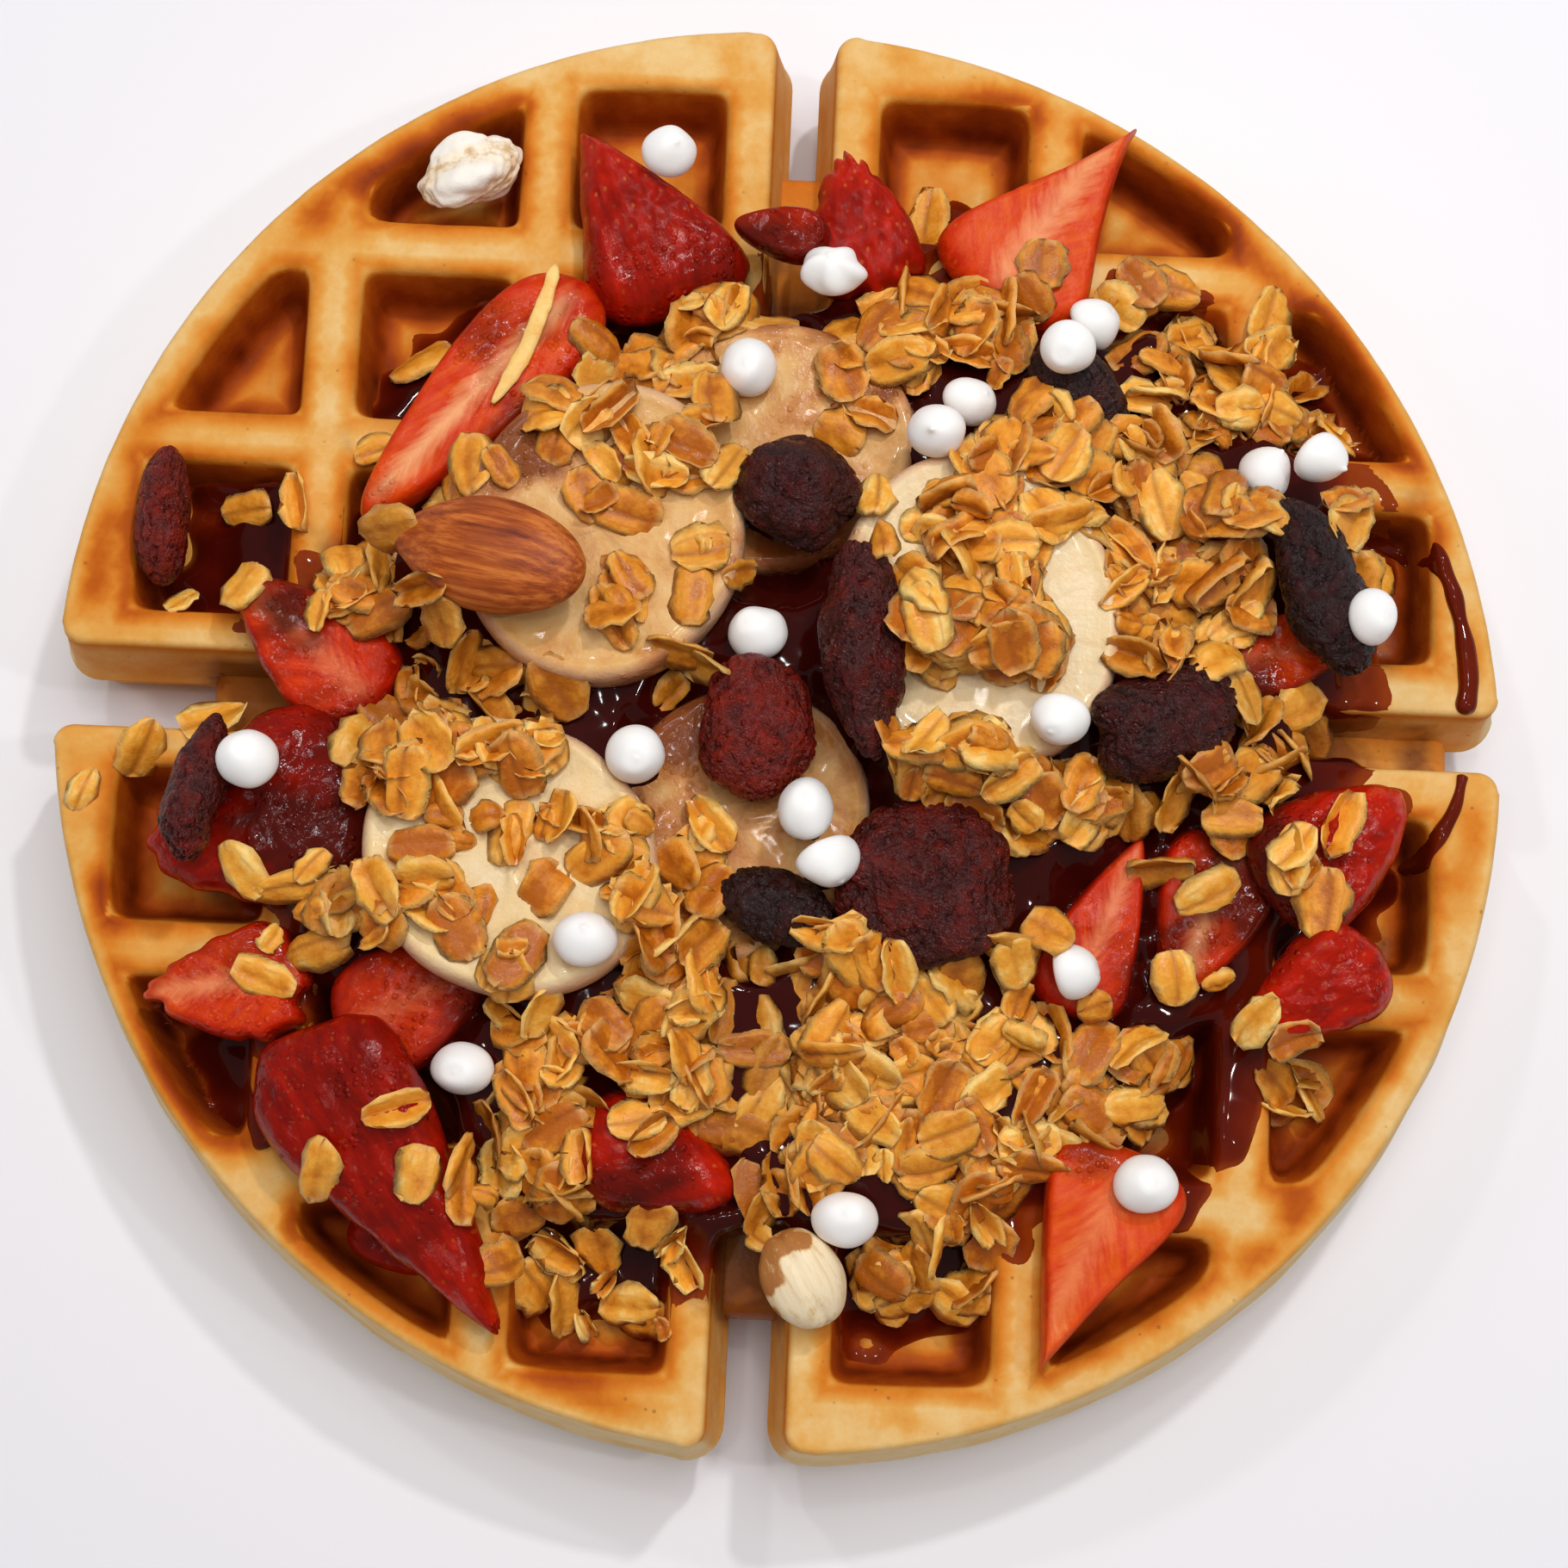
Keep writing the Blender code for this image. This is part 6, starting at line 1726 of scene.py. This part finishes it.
for k, (x, y, degrees) in enumerate(places):
    way, (length, width) = math.radians(degrees), sizes[k]
    lone = k >= total - apart
    along, across, z = pile.settle(x, y, way, length, width, sink=LONE_REST if lone else HEAP_REST)
    tilt = draw.normal(0, 0.16)
    if k < len(sunk):
        tilt, z = tilt * 2.2, z - draw.uniform(0.2, 0.9)
    if draw.random() < ON_EDGE and not lone:
        tilt = draw.choice((-1, 1)) * draw.uniform(0.6, 1.25)
        z += 0.22 * width * math.sin(abs(tilt))
    else:
        pile.raise_by(x, y, way, length, width, along, across, z)
    own = np.concatenate([nets[k].reshape(-1, 3), ends[k]])
    world[k] = own @ flake_turn(way, along, across, tilt).T + (x, y, z + FLAKE_THICK / 2)
    world[k, :, 2] -= max(world[k, :, 2].max() - FLAKE_LIMIT, 0)
print("flakes reach up to", round(world[..., 2].max(), 1), "mm")

# %% [markdown]
# Each flake has its own tone, and those in the syrup are wet. Flakes are amber, with a painted
# highlight on the rim and painted shade towards the middle and along the crease. All of them
# make up one mesh, whose points carry these values.

# %% Oat flakes
quads, fans = ring_quads(RINGS, AROUND), pole_fans(RINGS, AROUND)
first = (np.arange(total) * CORNERS)[:, None, None]
tone = draw.uniform(0, 1, total)
tone[-apart:] = 0.5 + 0.5 * tone[-apart:]
tone = np.repeat(tone, CORNERS)
wet = np.where(np.arange(total) < len(sunk), draw.uniform(0.35, 1, total),
               0.3 * draw.uniform(0, 1, total) ** 2)
wet = np.repeat(wet, CORNERS)
place = np.zeros((total, CORNERS, 3))
place[:, :-2, 0], place[:, :-2, 1] = flake_s.reshape(total, -1), flake_c.reshape(total, -1)
place[:, -2, 0], place[:, -1, 0] = -1, 1


def oat_look():
    look = Look("oat_flake", Metallic=0.0, IOR=1.45)
    place, space, tone = look.place("place"), look.space(), look.value("tone")
    along, across, _ = look.split(place)
    off = look.math("ABSOLUTE", across)
    cloud, grain = look.noise(space, 420, 4, 0.6), look.noise(space, 1500, 3, 0.6)
    shade = look.plus(look.times(tone, 0.8), look.centred(cloud, 1.5))
    # Painted shade towards the flake's middle, painted light towards its edges.
    shade = look.minus(shade, look.span(off, 0.75, 0.1, -0.1, 0.16))
    body = look.ramp(shade, (0.0, (0.46, 0.115, 0.005)), (0.35, (0.76, 0.27, 0.018)),
                     (0.7, (0.90, 0.42, 0.05)), (1.0, (0.95, 0.64, 0.20)))
    # Painted highlight along the flake's rim.
    rim = look.span(look.math("MAXIMUM", off, look.math("ABSOLUTE", along)), 0.72, 0.98)
    body = look.tint(body, rim, 0.5, (0.90, 0.60, 0.22))
    # Painted shade along the crease.
    painted_crease_shade = look.times(look.span(off, 0.2, 0.02), look.span(cloud, 0.3, 0.55))
    often = look.span(look.math("SINE", look.times(tone, 60)), -0.6, 0.6, 0.12, 0.6)
    body = look.blend(look.times(painted_crease_shade, often), body, (0.25, 0.055, 0.005))
    second = look.span(look.math("ABSOLUTE", look.minus(off, 0.55)), 0.1, 0.01)
    second = look.times(second, look.span(cloud, 0.5, 0.6))
    body = look.tint(body, second, 0.35, (0.32, 0.08, 0.008))
    soak = look.times(look.value("wet"), look.span(cloud, 0.25, 0.7, 1.0, 0.55))
    body = look.tint(body, soak, 0.8, (0.26, 0.075, 0.004))
    normal = look.bump(look.plus(cloud, look.times(grain, 0.35)), 0.4, 0.6)
    return look.finish(Base_Color=body, Normal=normal, Roughness=look.span(cloud, 0.35, 0.65, 0.26, 0.5),
                       Subsurface_Weight=0.05, Subsurface_Radius=(0.8, 0.5, 0.2), Subsurface_Scale=0.001)


SLIVER = ((-29.0, 52.4), (-35.6, 34.6))
SLIVER_WIDE, SLIVER_THICK = 2.1, 0.8


def sliver_net():
    """A long splinter of oat: flat section along a slightly bent line, tapering at both ends."""
    (ax, ay), (bx, by) = SLIVER
    t = np.linspace(0, 1, 26)
    bow = 0.9 * np.sin(math.pi * t)
    ahead = np.array([bx - ax, by - ay]) / math.hypot(bx - ax, by - ay)
    side = np.array([-ahead[1], ahead[0]])
    line = np.stack([ax + (bx - ax) * t, ay + (by - ay) * t], -1) + side * bow[:, None]
    rest = np.quantile(pile.heights[pile.cell(line[:, 0], line[:, 1])], 0.9) + 0.4
    taper = np.sqrt(np.clip(1 - (2 * t - 1) ** 4, 0.05, 1)) * (1 + 0.12 * ripple(line, 3, 341))
    a = turns(12)
    flat = line[:, None] + side * (SLIVER_WIDE / 2 * taper[:, None] * np.cos(a))[..., None]
    z = rest + SLIVER_THICK / 2 * taper[:, None] * np.sin(a) + 0.5 * ripple(line, 9, 342)[:, None]
    return np.concatenate([flat, z[..., None]], -1)


points, faces = shell(sliver_net())
oat_flake = oat_look()
put("oat_splinter",
    mesh_from("oat_splinter", points, faces, {"place": points * 0.3, "tone": 0.9, "wet": 0.0}),
    oat_flake, "granola", "granola_heap")
put("oat_flakes", mesh_from("oat_flakes", world.reshape(-1, 3),
    [(quads + first).reshape(-1, 4), (fans + first).reshape(-1, 3)],
    {"place": place.reshape(-1, 3), "tone": tone, "wet": wet}), oat_flake, "granola", "granola_heap")
print(total, "oat flakes, highest at", round(world[..., 2].max(), 1), "mm")

# %% [markdown]
# A pale floor, soft light and the camera. The photo looks down almost straight from above.
# One wide panel gives the soft light, and a few small ones the sharp glints on the syrup.

# %% Floor, light and camera
FLOOR_HALF, FLOOR_BELOW, SKY_STRENGTH = 900.0, 0.02, 0.24
# Name, place and size in metres, and power in watts; only the small ones show as glints
LAMPS = (
    ("wide_panel", (0.08, 0.1, 0.85), 0.5, 2.8), ("left_panel", (-0.6, 0.1, 0.6), 0.35, 0.5),
    ("spark_1", (0.16, 0.28, 0.62), 0.035, 1.1), ("spark_2", (-0.2, 0.3, 0.6), 0.035, 0.35),
    ("spark_3", (0.34, -0.05, 0.6), 0.035, 0.4), ("spark_4", (0.02, 0.12, 0.7), 0.03, 0.2),
    ("spark_5", (-0.12, -0.08, 0.7), 0.03, 0.15),
)
SPARK_LARGEST = 0.1
LENS_MM, SENSOR_MM = 69.2, 36.0


def floor_and_light():
    half = FLOOR_HALF
    corners = np.array([(-half, -half, 0), (half, -half, 0), (half, half, 0), (-half, half, 0)])
    sheet = mesh_from("floor", corners - (0, 0, FLOOR_BELOW), [np.array([[0, 1, 2, 3]])])
    ground = add("floor", sheet)
    look = Look("pale_floor", Roughness=0.5)
    tone = look.noise(look.space(), 8, 2, 0.5)
    pale = look.blend(tone, (0.865, 0.845, 0.885), (0.885, 0.865, 0.905))
    ground.data.materials.append(look.finish(Base_Color=pale))
    world = bpy.data.worlds.new("soft_sky")
    world.use_nodes = True
    world.node_tree.nodes["Background"].inputs["Color"].default_value = (1, 1, 1, 1)
    world.node_tree.nodes["Background"].inputs["Strength"].default_value = SKY_STRENGTH
    bpy.context.scene.world = world
    for name, at, size, power in LAMPS:
        lamp = bpy.data.lights.new(name, "AREA")
        lamp.shape, lamp.size, lamp.energy = "DISK", size, power
        holder = add(name, lamp)
        holder.location = at
        holder.rotation_euler = (-Vector(at)).to_track_quat("-Z", "Y").to_euler()
        holder.visible_glossy = size < SPARK_LARGEST


def photo_camera():
    """The photo's camera: its right, up and backward directions, its place and its lens."""
    lens = bpy.data.cameras.new("photo_camera")
    lens.lens, lens.sensor_width = LENS_MM, SENSOR_MM
    lens.clip_start, lens.clip_end = 0.01, 10
    camera = add("photo_camera", lens)
    camera.matrix_world = Matrix.Translation(CAMERA_PLACE * MM) @ \
        Matrix(CAMERA_AXES.tolist()).transposed().to_4x4()
    bpy.context.scene.camera = camera


floor_and_light()
photo_camera()
bpy.context.scene.view_settings.view_transform = "Standard"
print(len(LAMPS), "lights and a camera of", LENS_MM, "mm")
